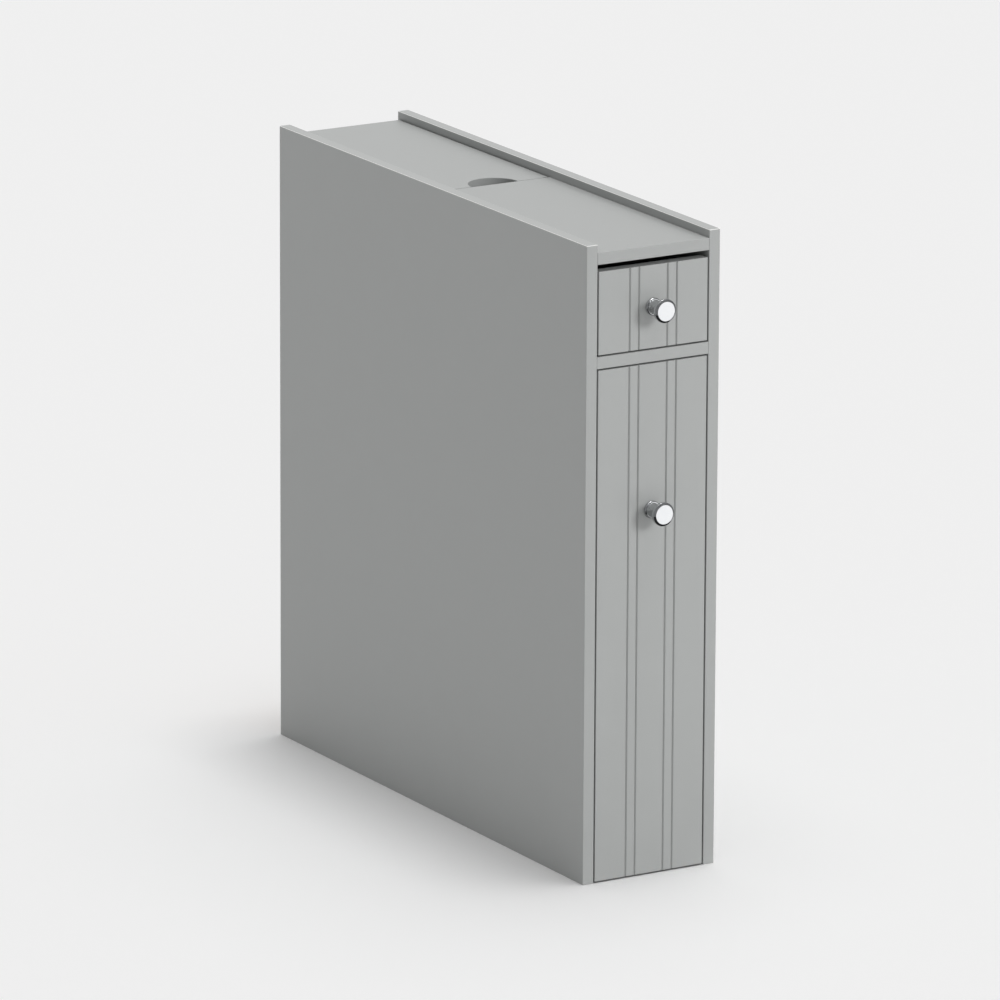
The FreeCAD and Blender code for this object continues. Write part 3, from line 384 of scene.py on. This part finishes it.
# Cam bolts and cam discs: a coarse-threaded steel bolt in one board, drawn in by a disc in the other.
# The bolts are cold-headed and zinc plated. The discs are cast in zinc alloy and lie flush in their holes.
BOLT_SHANK = 2.0 * MM
BOLT_THREAD = 2.5 * MM
BOLT_THREADED = 8.0 * MM
BOLT_PITCH = 2.0 * MM
BOLT_POINT = 1.0 * MM
BOLT_HEAD = 3.2 * MM
BOLT_HEAD_HEIGHT = 4.0 * MM
BOLT_HEAD_ROUND = 0.7 * MM
SCREW_COLUMNS = 40
ROWS_PER_TURN = 8
HEAD_ROUND_ROWS = 6
HEAD_FACE_ROWS = 14
ROOT_SHARE = 0.72
CREST_STEEPNESS = 1.6
TIP_SHARE = 0.08
POLE_SHARE = 0.04
RECESS_ARM_SHARE = 0.16
RECESS_REACH_SHARE = 0.62
RECESS_DEPTH_SHARE = 0.5
RECESS_RISE_SHARE = 0.55
RECESS_SOFT = 0.12 * MM
ZINC_PLATE = "#C9CCCE"
ZINC_PLATE_DULL = "#B2B6B9"
ZINC_GLOSSIEST = 0.24
ZINC_DULLEST = 0.40
ZINC_SPANGLE = 4 * MM
ZINC_GRAIN = 0.35 * MM
CAST_ZINC = "#A6A8A9"
CAST_ZINC_DULL = "#8F9192"
CAST_GLOSSIEST = 0.42
CAST_DULLEST = 0.58
CAST_SKIN = 0.6 * MM
GRAIN_DEPTH_SHARE = 1 / 12


def threaded(length, thread, pitch, threaded_length, shank, point, head, head_height, head_round):
    """A screw from its tip to its cross-recessed head, as radius and height over rows and columns.

    The thread's crest rises where height over pitch, less the share of the turn, is near a half, and it
    fades in over the point. Above the thread runs a plain shank. The head is a flat ring below, an upright
    rim, a quarter round and a flat face, and the recess sinks the face within an arm's width of two crossed
    lines, deepest in the middle.
    """
    turn = np.arange(SCREW_COLUMNS) / SCREW_COLUMNS
    head_low = length - head_height
    rows = int(threaded_length / pitch * ROWS_PER_TURN)
    climb = np.linspace(0, threaded_length, rows)[:, None]
    wave = np.abs((climb / pitch - turn) % 1 - 0.5) * 2
    root = thread * ROOT_SHARE
    winding = root + (thread - root) * np.clip(1 - CREST_STEEPNESS * wave, 0, 1)
    fade = np.clip(TIP_SHARE + climb / point, 0, 1)
    neck = np.full((2, 1), shank)
    neck_height = np.array(((min(threaded_length + pitch / 4, head_low),), (head_low,)))
    bend = np.linspace(0, np.pi / 2, HEAD_ROUND_ROWS)[:, None]
    rim = np.concatenate((np.full((2, 1), head), head - head_round * (1 - np.cos(bend[1:]))))
    rim_height = np.concatenate((np.array(((head_low,), (length - head_round,))),
                                 length - head_round * (1 - np.sin(bend[1:]))))
    face = np.linspace(1, POLE_SHARE, HEAD_FACE_ROWS)[:, None] * (head - head_round)
    beside = face * np.minimum(np.abs(np.sin(turn * 2 * np.pi)), np.abs(np.cos(turn * 2 * np.pi)))
    reach = head * RECESS_REACH_SHARE
    inside = np.clip((head * RECESS_ARM_SHARE - beside) / RECESS_SOFT + 0.5, 0, 1)
    inside = inside * np.clip((reach - face) / RECESS_SOFT + 0.5, 0, 1)
    sunk = length - head * RECESS_DEPTH_SHARE * inside * (1 - RECESS_RISE_SHARE * face / reach)
    whole = np.ones((1, SCREW_COLUMNS))
    radius = np.concatenate((winding * fade, neck * whole, rim * whole, face * whole))
    height = np.concatenate((climb * whole, neck_height * whole, rim_height * whole, sunk))
    return radius, height


def cam_bolt(length):
    """A cam bolt: eight millimetres of coarse thread, a shank and a thick rounded head."""
    return threaded(length, BOLT_THREAD, BOLT_PITCH, BOLT_THREADED, BOLT_SHANK, BOLT_POINT, BOLT_HEAD,
                    BOLT_HEAD_HEIGHT, BOLT_HEAD_ROUND)


def plated_metal(name, bright, dull, patch, grain_size, smooth, rough):
    """Bare metal in two tones: broad patches of tone and gloss under a fine crystalline grain."""
    made, tree, shader = new_material(name, Metallic=1.0)
    spot = add(tree, "ShaderNodeTexCoord")
    patches = add(tree, "ShaderNodeTexNoise", {"Vector": spot.outputs["Object"], "Scale": 1 / patch,
                                               "Detail": 4.0})
    colour = add(tree, "ShaderNodeMixRGB", {"Fac": patches.outputs["Fac"], "Color1": linear(dull),
                                            "Color2": linear(bright)})
    gloss = add(tree, "ShaderNodeMapRange", {"Value": patches.outputs["Fac"], "From Min": 0.3,
                                             "From Max": 0.7, "To Min": rough, "To Max": smooth})
    fine = add(tree, "ShaderNodeTexNoise", {"Vector": spot.outputs["Object"], "Scale": 1 / grain_size,
                                            "Detail": 2.0})
    relief = add(tree, "ShaderNodeBump", {"Height": fine.outputs["Fac"], "Strength": 0.5,
                                          "Distance": grain_size * GRAIN_DEPTH_SHARE})
    tree.links.new(colour.outputs["Color"], shader.inputs["Base Color"])
    tree.links.new(gloss.outputs["Result"], shader.inputs["Roughness"])
    tree.links.new(relief.outputs["Normal"], shader.inputs["Normal"])
    return made


# Bright zinc plate: bluish white steel, a little cloudy. Die-cast zinc: duller, with a grainy cast skin.
zinc_plate = plated_metal("bright_zinc_plated_steel", ZINC_PLATE, ZINC_PLATE_DULL, ZINC_SPANGLE, ZINC_GRAIN,
                          ZINC_GLOSSIEST, ZINC_DULLEST)
cast_zinc = plated_metal("dull_die_cast_zinc", CAST_ZINC, CAST_ZINC_DULL, ZINC_SPANGLE, CAST_SKIN,
                         CAST_GLOSSIEST, CAST_DULLEST)
turned_copies("threaded_cam_bolts", "cam_bolts", "carcass", zinc_plate, cam_bolt)
dress(["cam_discs"], cast_zinc)


# Lid: a board with a rounded rear edge and a half-round finger notch, hung on two steel pins.
# It has the carcass's lacquer. The pins turn in white nylon bushes that are pressed into the side panels.
NYLON = "#E6E3DA"
NYLON_DEEP = "#DCD8CD"
NYLON_ROUGHNESS = 0.42
NYLON_SOFTNESS = 0.15
NYLON_FLOW = 6 * MM
NYLON_SKIN = 0.4 * MM
SOFT_REACH = 1.5 * MM
GLOSS_SWING = 0.06
SKIN_DEPTH_SHARE = 0.1


def moulded(name, light, deep, flow, skin, roughness, soft=0.0, stretch=(1.0, 1.0, 1.0)):
    """Moulded or extruded plastic or rubber: faint flow marks in the tone and a fine matt skin.

    Soft is the share of light that enters the surface. Stretch lengthens the marks along an axis.
    """
    made, tree, shader = new_material(name, IOR=RESIN_IOR, Subsurface_Weight=soft,
                                      Subsurface_Scale=SOFT_REACH)
    spot = add(tree, "ShaderNodeTexCoord")
    drawn = add(tree, "ShaderNodeMapping", {"Vector": spot.outputs["Object"], "Scale": stretch})
    marks = add(tree, "ShaderNodeTexNoise", {"Vector": drawn.outputs["Vector"], "Scale": 1 / flow,
                                             "Detail": 3.0})
    colour = add(tree, "ShaderNodeMixRGB", {"Fac": marks.outputs["Fac"], "Color1": linear(deep),
                                            "Color2": linear(light)})
    gloss = add(tree, "ShaderNodeMapRange", {"Value": marks.outputs["Fac"],
                                             "To Min": roughness - GLOSS_SWING,
                                             "To Max": roughness + GLOSS_SWING})
    fine = add(tree, "ShaderNodeTexNoise", {"Vector": drawn.outputs["Vector"], "Scale": 1 / skin,
                                            "Detail": 2.0})
    relief = add(tree, "ShaderNodeBump", {"Height": fine.outputs["Fac"], "Strength": 0.6,
                                          "Distance": skin * SKIN_DEPTH_SHARE})
    tree.links.new(colour.outputs["Color"], shader.inputs["Base Color"])
    tree.links.new(gloss.outputs["Result"], shader.inputs["Roughness"])
    tree.links.new(relief.outputs["Normal"], shader.inputs["Normal"])
    return made


# Natural nylon: milky white, slightly waxy, with light going a little way in
nylon = moulded("milky_moulded_nylon", NYLON, NYLON_DEEP, NYLON_FLOW, NYLON_SKIN, NYLON_ROUGHNESS,
                soft=NYLON_SOFTNESS)
dress(["lid_panel"], lacquer)
dress(["lid_pins"], zinc_plate)
dress(["lid_bushes"], nylon)


# Drawer runners: two extruded strips screwed to the side panels, with ribs that run in the drawer sides.
# The strips are white rigid plastic, drawn out along their length. The screws are zinc plated pan heads
# with a cross recess. Rubber buttons at the back stop the drawer and the rack.
RUNNER = "#DEDFDB"
RUNNER_DEEP = "#D2D3CE"
RUNNER_ROUGHNESS = 0.40
RUNNER_DRAW = 3 * MM
RUNNER_STRETCH = (1.0, 0.03, 1.0)
RUNNER_SKIN = 0.5 * MM
SCREW_THREAD = 1.7 * MM
SCREW_PITCH = 1.6 * MM
SCREW_POINT = 2.5 * MM
SCREW_HEAD = 3.4 * MM
SCREW_HEAD_HEIGHT = 2.4 * MM
SCREW_HEAD_ROUND = 0.8 * MM
RUBBER = "#2A2A2B"
RUBBER_DEEP = "#222223"
RUBBER_ROUGHNESS = 0.82
RUBBER_FLOW = 6 * MM
RUBBER_SKIN = 0.5 * MM


def wood_screw(length):
    """A wood screw that is threaded from its point up to its pan head."""
    grip = length - SCREW_HEAD_HEIGHT
    return threaded(length, SCREW_THREAD, SCREW_PITCH, grip - SCREW_PITCH / 2, SCREW_THREAD * ROOT_SHARE,
                    SCREW_POINT, SCREW_HEAD, SCREW_HEAD_HEIGHT, SCREW_HEAD_ROUND)


# Extruded plastic shows fine lines along its length. Moulded rubber is nearly black and quite matt.
runner_plastic = moulded("white_extruded_plastic", RUNNER, RUNNER_DEEP, RUNNER_DRAW, RUNNER_SKIN,
                         RUNNER_ROUGHNESS, stretch=RUNNER_STRETCH)
rubber = moulded("black_moulded_rubber", RUBBER, RUBBER_DEEP, RUBBER_FLOW, RUBBER_SKIN, RUBBER_ROUGHNESS)
dress(["left_drawer_runner", "right_drawer_runner"], runner_plastic)
dress(["stop_bumpers"], rubber)
turned_copies("runner_pan_head_screws", "runner_screws", "carcass", zinc_plate, wood_screw)


# Drawer: an inset front with four V-grooves, two sides, a back and a hardboard bottom held in grooves.
# The boards have the carcass's lacquer. Dowels hold the front, and screws through the sides hold the back.
dress(["drawer_front", "left_drawer_side", "right_drawer_side", "drawer_back"], lacquer)
dress(["drawer_bottom"], hardboard("foiled_hardboard_raw_below", (0, 0, -1), "XY"))
turned_copies("fluted_drawer_dowels", "drawer_dowels", "drawer", beech, fluted_peg)
turned_copies("drawer_pan_head_screws", "drawer_screws", "drawer", zinc_plate, wood_screw)


# Pull-out rack: a tall front with the drawer's grooves, a base, two shelves and a rear upright, lacquered.
# Cam fittings hold the front, long screws the upright. Chromed rods guard the sides of each tier, and nylon
# buttons keep the rack clear of the side panels.
RACK_BOARDS = ("rack_front", "rack_base", "rack_lower_shelf", "rack_upper_shelf", "rack_upright")
GUARD_RAILS = [f"{tier}_{side}_guard_rail" for tier in ("base", "lower", "upper")
               for side in ("left", "right")]
CHROME = "#CACBCC"
CHROME_HAZE = "#C0C2C4"
CHROME_GLOSSIEST = 0.03
CHROME_DULLEST = 0.09
POLISH_MARKS = 9 * MM

dress(RACK_BOARDS, lacquer)
turned_copies("threaded_rack_cam_bolts", "rack_cam_bolts", "rack", zinc_plate, cam_bolt)
dress(["rack_cam_discs"], cast_zinc)
turned_copies("rack_pan_head_screws", "rack_screws", "rack", zinc_plate, wood_screw)
dress(["rack_glides"], nylon)

# Polished chrome plate: a cool mirror, with the faintest haze of polishing marks in its gloss
chrome, chrome_tree, chrome_shader = new_material("polished_chrome_plate", Metallic=1.0)
chrome_spot = add(chrome_tree, "ShaderNodeTexCoord")
polish = add(chrome_tree, "ShaderNodeTexNoise", {"Vector": chrome_spot.outputs["Object"],
                                                 "Scale": 1 / POLISH_MARKS, "Detail": 5.0})
haze = add(chrome_tree, "ShaderNodeMixRGB", {"Fac": polish.outputs["Fac"], "Color1": linear(CHROME_HAZE),
                                             "Color2": linear(CHROME)})
buffed = add(chrome_tree, "ShaderNodeMapRange", {"Value": polish.outputs["Fac"], "To Min": CHROME_GLOSSIEST,
                                                 "To Max": CHROME_DULLEST})
chrome_tree.links.new(haze.outputs["Color"], chrome_shader.inputs["Base Color"])
chrome_tree.links.new(buffed.outputs["Result"], chrome_shader.inputs["Roughness"])
dress(GUARD_RAILS, chrome)


# Castors: four fixed wheels under the rack base, each in a bracket pressed from zinc plated sheet.
# The wheels are moulded in dark plastic with a ribbed web on both faces, and turn on riveted steel axles.
# Two short screws hold each bracket up to the base.
WHEEL_COLUMNS = 120
WHEEL_ROUND_ROWS = 7
WHEEL_BORE = 2.55 * MM
WHEEL_HUB = 5.0 * MM
WHEEL_WEB = 9.0 * MM
WHEEL_DISH = 1.5 * MM
WHEEL_SHOULDER = 1.5 * MM
WHEEL_DRAFT = 0.3 * MM
WHEEL_RIBS = 6
RIB_HALF = 0.7 * MM
RIB_SOFT = 0.25 * MM
CASTOR = "#2B2C2E"
CASTOR_DEEP = "#242527"
CASTOR_ROUGHNESS = 0.5
CASTOR_FLOW = 6 * MM
CASTOR_SKIN = 0.5 * MM
CASTOR_CORNERS = [f"{end}_{side}" for end in ("front", "rear") for side in ("left", "right")]


def ribbed_wheel(radius, half):
    """A wheel as distance from the axle and place along it, over rows and columns, closed both ways.

    One face runs from the bore over hub, sunk web and rim, a quarter round leads to the tread, and the
    second face mirrors the first. Where the angle lies within a rib's width, the web comes up level with
    the hub.
    """
    angle = np.arange(WHEEL_COLUMNS) * 2 * np.pi / WHEEL_COLUMNS
    spacing = 2 * np.pi / WHEEL_RIBS
    aside = np.abs((angle + spacing / 2) % spacing - spacing / 2) * (WHEEL_HUB + WHEEL_WEB) / 2
    sunk = WHEEL_DISH * (1 - np.clip((RIB_HALF - aside) / RIB_SOFT + 0.5, 0, 1))
    bend = np.linspace(0, np.pi / 2, WHEEL_ROUND_ROWS)
    steps = (WHEEL_BORE, WHEEL_HUB, WHEEL_HUB + WHEEL_DRAFT, WHEEL_WEB - WHEEL_DRAFT, WHEEL_WEB)
    far = np.concatenate((steps, radius - WHEEL_SHOULDER * (1 - np.sin(bend))))
    along = np.concatenate((np.full(len(steps), -half), -half + WHEEL_SHOULDER * (1 - np.cos(bend))))
    web = np.zeros(len(far))
    web[2:4] = 1
    face = along[:, None] + web[:, None] * sunk
    distance = np.repeat(np.concatenate((far, far[::-1]))[:, None], WHEEL_COLUMNS, axis=1)
    return angle, distance, np.concatenate((face, -face[::-1]))


# Moulded castor plastic: charcoal, with the fine dull grain of an eroded mould
castor_plastic = moulded("charcoal_moulded_plastic", CASTOR, CASTOR_DEEP, CASTOR_FLOW, CASTOR_SKIN,
                         CASTOR_ROUGHNESS)
for corner in CASTOR_CORNERS:
    wheel = f"{corner}_wheel"
    low, high = (np.array(end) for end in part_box(wheel))
    centre = (low + high) / 2
    angle, distance, along = ribbed_wheel((high - low)[2] / 2, (high - low)[0] / 2)
    points = np.stack((along, distance * np.cos(angle), distance * np.sin(angle)), axis=-1)
    ring = np.arange(distance.size).reshape(distance.shape)
    after = np.roll(ring, -1, axis=1)
    quads = np.stack((ring, after, np.roll(after, -1, axis=0), np.roll(ring, -1, axis=0)), axis=-1)
    new_piece(f"{corner}_ribbed_wheel", centre + points.reshape(-1, 3), [quads.reshape(-1, 4)],
              castor_plastic, wheel, wheel)
dress([f"{corner}_castor_bracket" for corner in CASTOR_CORNERS] + ["castor_axles"], zinc_plate)
turned_copies("castor_pan_head_screws", "castor_screws", "rack", zinc_plate, wood_screw)


# Knobs: turned brass with a small foot, a waisted neck and a thick flat head, polished and chrome plated.
# A machine screw from inside each front, with its head sunk in the board, holds the knob. The turner's
# bevel round the flat face is what shows as a dark ring.
KNOB_COLUMNS = 96
KNOB_ROUND_ROWS = 8
KNOB_WAIST_ROWS = 12
KNOB_BORE = 2.1 * MM
KNOB_BORE_DEPTH = 12.1 * MM
KNOB_FOOT = 8.75 * MM
KNOB_FOOT_RIM = 1.0 * MM
KNOB_FOOT_ROUND = 1.6 * MM
KNOB_NECK = 5.5 * MM
KNOB_NECK_HEIGHT = 10.5 * MM
KNOB_HEAD = 11.75 * MM
KNOB_HEAD_HEIGHT = 6.0 * MM
KNOB_BACK_ROUND = 2.0 * MM
KNOB_BEVEL = 2.2 * MM
KNOB_BEVEL_SLOPE = math.radians(33)
KNOB_BREAK = 0.12 * MM
KNOB_THREAD = 2.0 * MM
KNOB_PITCH = 0.7 * MM
KNOB_SCREW_HEAD = 4.0 * MM
KNOB_SCREW_HEAD_HEIGHT = 2.6 * MM


def turned_knob(length):
    """A knob from the end of its bore, round the foot, up the waist and over the head to its face.

    Foot and head have quarter rounds. Each side of the neck the waist is an arc, radius = neck + bend - the
    root of bend squared less height from the neck squared, whose bend lets it meet foot and head. The bevel
    is straight, and each of its two edges is broken over a short stretch between rows that keep the flats
    flat.
    """
    def waist(start, end, shoulder):
        rise = max(abs(start - KNOB_NECK_HEIGHT), abs(end - KNOB_NECK_HEIGHT))
        bend = ((shoulder - KNOB_NECK) ** 2 + rise ** 2) / 2 / (shoulder - KNOB_NECK)
        climb = np.linspace(start, end, KNOB_WAIST_ROWS)
        return KNOB_NECK + bend - np.sqrt(bend ** 2 - (climb - KNOB_NECK_HEIGHT) ** 2), climb

    quarter = np.linspace(0, np.pi / 2, KNOB_ROUND_ROWS)
    foot_round = (KNOB_FOOT - KNOB_FOOT_ROUND * (1 - np.cos(quarter)),
                  KNOB_FOOT_RIM + KNOB_FOOT_ROUND * np.sin(quarter))
    head_low = length - KNOB_HEAD_HEIGHT
    lower = waist(KNOB_FOOT_RIM + KNOB_FOOT_ROUND, KNOB_NECK_HEIGHT, KNOB_FOOT - KNOB_FOOT_ROUND)
    upper = waist(KNOB_NECK_HEIGHT, head_low, KNOB_HEAD - KNOB_BACK_ROUND)
    back_round = (KNOB_HEAD - KNOB_BACK_ROUND * (1 - np.sin(quarter)),
                  head_low + KNOB_BACK_ROUND * (1 - np.cos(quarter)))
    slope = math.tan(KNOB_BEVEL_SLOPE)
    face_edge = KNOB_HEAD - KNOB_BEVEL
    bevel_low = length - KNOB_BEVEL * slope
    off = KNOB_BREAK * np.array((2, 1, -1, -2))
    bevel = (np.concatenate((np.full(2, KNOB_HEAD), KNOB_HEAD + off[2:], face_edge + off)),
             np.concatenate((bevel_low - off[:2], bevel_low - off[2:] * slope, length - off[:2] * slope,
                             np.full(2, length))))
    bore = (np.array((KNOB_BORE, KNOB_BORE, KNOB_FOOT)), np.array((KNOB_BORE_DEPTH, 0, 0)))
    middle = (np.array((KNOB_BREAK,)), np.array((length,)))
    runs = (bore, foot_round, [run[1:] for run in lower], [run[1:] for run in upper],
            [run[1:] for run in back_round], bevel, middle)
    radius, height = (np.concatenate([run[part] for run in runs])[:, None] for part in (0, 1))
    return np.repeat(radius, KNOB_COLUMNS, axis=1), np.repeat(height, KNOB_COLUMNS, axis=1)


def machine_screw(length):
    """A blunt machine screw with a fine thread up to its pan head."""
    grip = length - KNOB_SCREW_HEAD_HEIGHT
    return threaded(length, KNOB_THREAD, KNOB_PITCH, grip - KNOB_PITCH, KNOB_THREAD, KNOB_PITCH,
                    KNOB_SCREW_HEAD, KNOB_SCREW_HEAD_HEIGHT, SCREW_HEAD_ROUND)


for owner in ("drawer", "rack"):
    turned_copies(f"{owner}_turned_knob", f"{owner}_knob", owner, chrome, turned_knob)
    turned_copies(f"{owner}_knob_machine_screw", f"{owner}_knob_screw", owner, zinc_plate,
                  machine_screw)


# Studio: a matt pale floor that runs out of sight, softboxes above and behind, a front fill, an even sky.
# The camera and polished metal see pale paper all round. A flag keeps the fill off the floor, so that the
# cabinet casts no long shadow there.
FLOOR_HALF = 60.0
FLOOR_COLOUR = "#FDFDFD"
BACKDROP = "#EEEEEE"
SKY_LEVEL = 0.354
# Direction from the cabinet, strength, spread in degrees, and whether glossy surfaces mirror the lamp
LAMPS = {
    "overhead_softbox": ((0.110, -0.060, 0.992), 0.720, 14, True),
    "wide_overhead_softbox": ((0.0, 0.0, 1.0), 0.650, 40, True),
    "rear_right_softbox": ((0.265, 0.265, 0.927), 0.320, 34, False),
    "front_fill": ((0.382, -0.858, 0.342), 1.420, 20, False),
}

floor_mesh = bpy.data.meshes.new("studio_floor")
floor_mesh.from_pydata([(-FLOOR_HALF, -FLOOR_HALF, 0), (FLOOR_HALF, -FLOOR_HALF, 0),
                        (FLOOR_HALF, FLOOR_HALF, 0), (-FLOOR_HALF, FLOOR_HALF, 0)], [], [(0, 1, 2, 3)])
floor = bpy.data.objects.new("studio_floor", floor_mesh)
bpy.context.scene.collection.objects.link(floor)
floor_mesh.materials.append(new_material("matt_pale_floor", Roughness=1.0, Specular_IOR_Level=0.0,
                                         Base_Color=linear(FLOOR_COLOUR))[0])

# Cards round the front show only in reflections, where they draw the edges of polished chrome.
# Grey walls stand at the left and right, a lit cloth hangs between them where the knobs' flat faces look,
# and a black and a grey card lie on the floor by the front.
GREY_CARD = "#A2A3A4"
BLACK_CARD = "#1C1C1D"
LIT_CLOTH = "#FFFFFF"
CLOTH_LEVEL = 1.55
CARD_ROUGHNESS = 0.9
WALL_RADIUS = 1.3
WALL_COLUMNS = 24
# First and last bearing in degrees from straight ahead, lower and upper height
WALLS = {
    "left_grey_card": (-100, 16, 0.0, 1.9),
    "upper_grey_card": (16, 50, 0.75, 1.9),
    "right_grey_card": (50, 105, 0.0, 1.9),
    "front_right_lit_cloth": (16, 50, 0.0, 0.75),
}
# Outer and inner edge, each a row of places on the floor
LOW_CARDS = {
    "low_black_card": (
        ((-1.30, -1.30), (-0.40, -1.30), (0.10, -1.20), (0.16, -0.62), (0.36, -0.46), (0.60, -0.38)),
        ((-1.30, -0.31), (-0.30, -0.31), (-0.08, -0.31), (0.07, -0.31), (0.22, -0.25), (0.50, -0.18))),
    "low_grey_card": (((0.60, -0.38), (1.30, -0.34)), ((0.50, -0.18), (1.30, 0.16))),
}
LOW_CARD_LIFT = 2 * MM

card_finish = {
    "grey": new_material("matt_grey_card", Roughness=CARD_ROUGHNESS, Base_Color=linear(GREY_CARD))[0],
    "black": new_material("matt_black_card", Roughness=CARD_ROUGHNESS, Base_Color=linear(BLACK_CARD))[0],
    "lit": new_material("lit_softbox_cloth", Roughness=CARD_ROUGHNESS, Base_Color=(0, 0, 0, 1),
                        Emission_Color=linear(LIT_CLOTH), Emission_Strength=CLOTH_LEVEL)[0],
}
cards = {name: np.array([[(x, y, LOW_CARD_LIFT) for x, y in edge] for edge in edges])
         for name, edges in LOW_CARDS.items()}
for name, (start, end, foot, head) in WALLS.items():
    bearing = np.radians(np.linspace(start, end, WALL_COLUMNS))
    arc = WALL_RADIUS * np.stack((np.sin(bearing), -np.cos(bearing), 0 * bearing), axis=-1)
    cards[name] = np.stack((arc + (0, 0, foot), arc + (0, 0, head)))
for name, grid in cards.items():
    ring = np.arange(grid.shape[0] * grid.shape[1]).reshape(grid.shape[:2])
    quads = np.stack((ring[:-1, :-1], ring[:-1, 1:], ring[1:, 1:], ring[1:, :-1]), axis=-1).reshape(-1, 4)
    card_mesh = bpy.data.meshes.new(name)
    card_mesh.from_pydata(grid.reshape(-1, 3).tolist(), [], quads.tolist())
    card_mesh.materials.append(card_finish[name.split("_")[-2]])
    card = bpy.data.objects.new(name, card_mesh)
    bpy.context.scene.collection.objects.link(card)
    card.visible_camera = False
    card.visible_diffuse = False
    card.visible_shadow = False
    card.visible_transmission = False

world = bpy.data.worlds.new("studio_sky")
world.use_nodes = True
bpy.context.scene.world = world
sky = world.node_tree
sky.nodes.clear()
ray = add(sky, "ShaderNodeLightPath")
seen = add(sky, "ShaderNodeMath", {0: ray.outputs["Is Camera Ray"], 1: ray.outputs["Is Glossy Ray"]},
           operation="MAXIMUM")
shown = add(sky, "ShaderNodeMath", {0: seen.outputs[0], 1: ray.outputs["Is Transmission Ray"]},
            operation="MAXIMUM")
glow = add(sky, "ShaderNodeBackground", {"Color": (1, 1, 1, 1), "Strength": SKY_LEVEL})
view = add(sky, "ShaderNodeBackground", {"Color": linear(BACKDROP), "Strength": 1.0})
both = add(sky, "ShaderNodeMixShader", {0: shown.outputs[0], 1: glow.outputs[0], 2: view.outputs[0]})
add(sky, "ShaderNodeOutputWorld", {"Surface": both.outputs[0]})

for name, (lamp_towards, energy, spread, mirrored) in LAMPS.items():
    lamp_data = bpy.data.lights.new(name, "SUN")
    lamp_data.energy = energy
    lamp_data.angle = math.radians(spread)
    lamp = bpy.data.objects.new(name, lamp_data)
    bpy.context.scene.collection.objects.link(lamp)
    lamp.visible_glossy = mirrored
    lamp.rotation_mode = "QUATERNION"
    lamp.rotation_quaternion = Vector(lamp_towards).to_track_quat("Z", "Y")
flag = bpy.data.collections.new("flag_before_the_floor")
flag.objects.link(floor)
flag.collection_objects[0].light_linking.link_state = "EXCLUDE"
bpy.data.objects["front_fill"].light_linking.receiver_collection = flag


# Camera: a long lens at the photograph's angle, from the left of the front and a little above.
CAMERA_YAW = math.radians(30.71)
CAMERA_PITCH = math.radians(15.01)
CAMERA_ROLL = math.radians(0.255)
CAMERA_PLACE = (-4.6543, -7.8363, 2.7556)
CAMERA_REACH = 200.0
LENS = 341.5

ahead = Vector((math.sin(CAMERA_YAW) * math.cos(CAMERA_PITCH),
                math.cos(CAMERA_YAW) * math.cos(CAMERA_PITCH), -math.sin(CAMERA_PITCH)))
level = Vector((math.cos(CAMERA_YAW), -math.sin(CAMERA_YAW), 0))
down = ahead.cross(level)
right = level * math.cos(CAMERA_ROLL) - down * math.sin(CAMERA_ROLL)
upward = -(level * math.sin(CAMERA_ROLL) + down * math.cos(CAMERA_ROLL))
camera_data = bpy.data.cameras.new("photograph_view")
camera_data.lens = LENS
camera_data.clip_end = CAMERA_REACH
camera = bpy.data.objects.new("photograph_view", camera_data)
bpy.context.scene.collection.objects.link(camera)
camera_turn = Matrix((right, upward, -ahead)).transposed().to_4x4()
camera.matrix_world = Matrix.Translation(CAMERA_PLACE) @ camera_turn
bpy.context.scene.camera = camera
bpy.context.scene.view_settings.view_transform = "Standard"
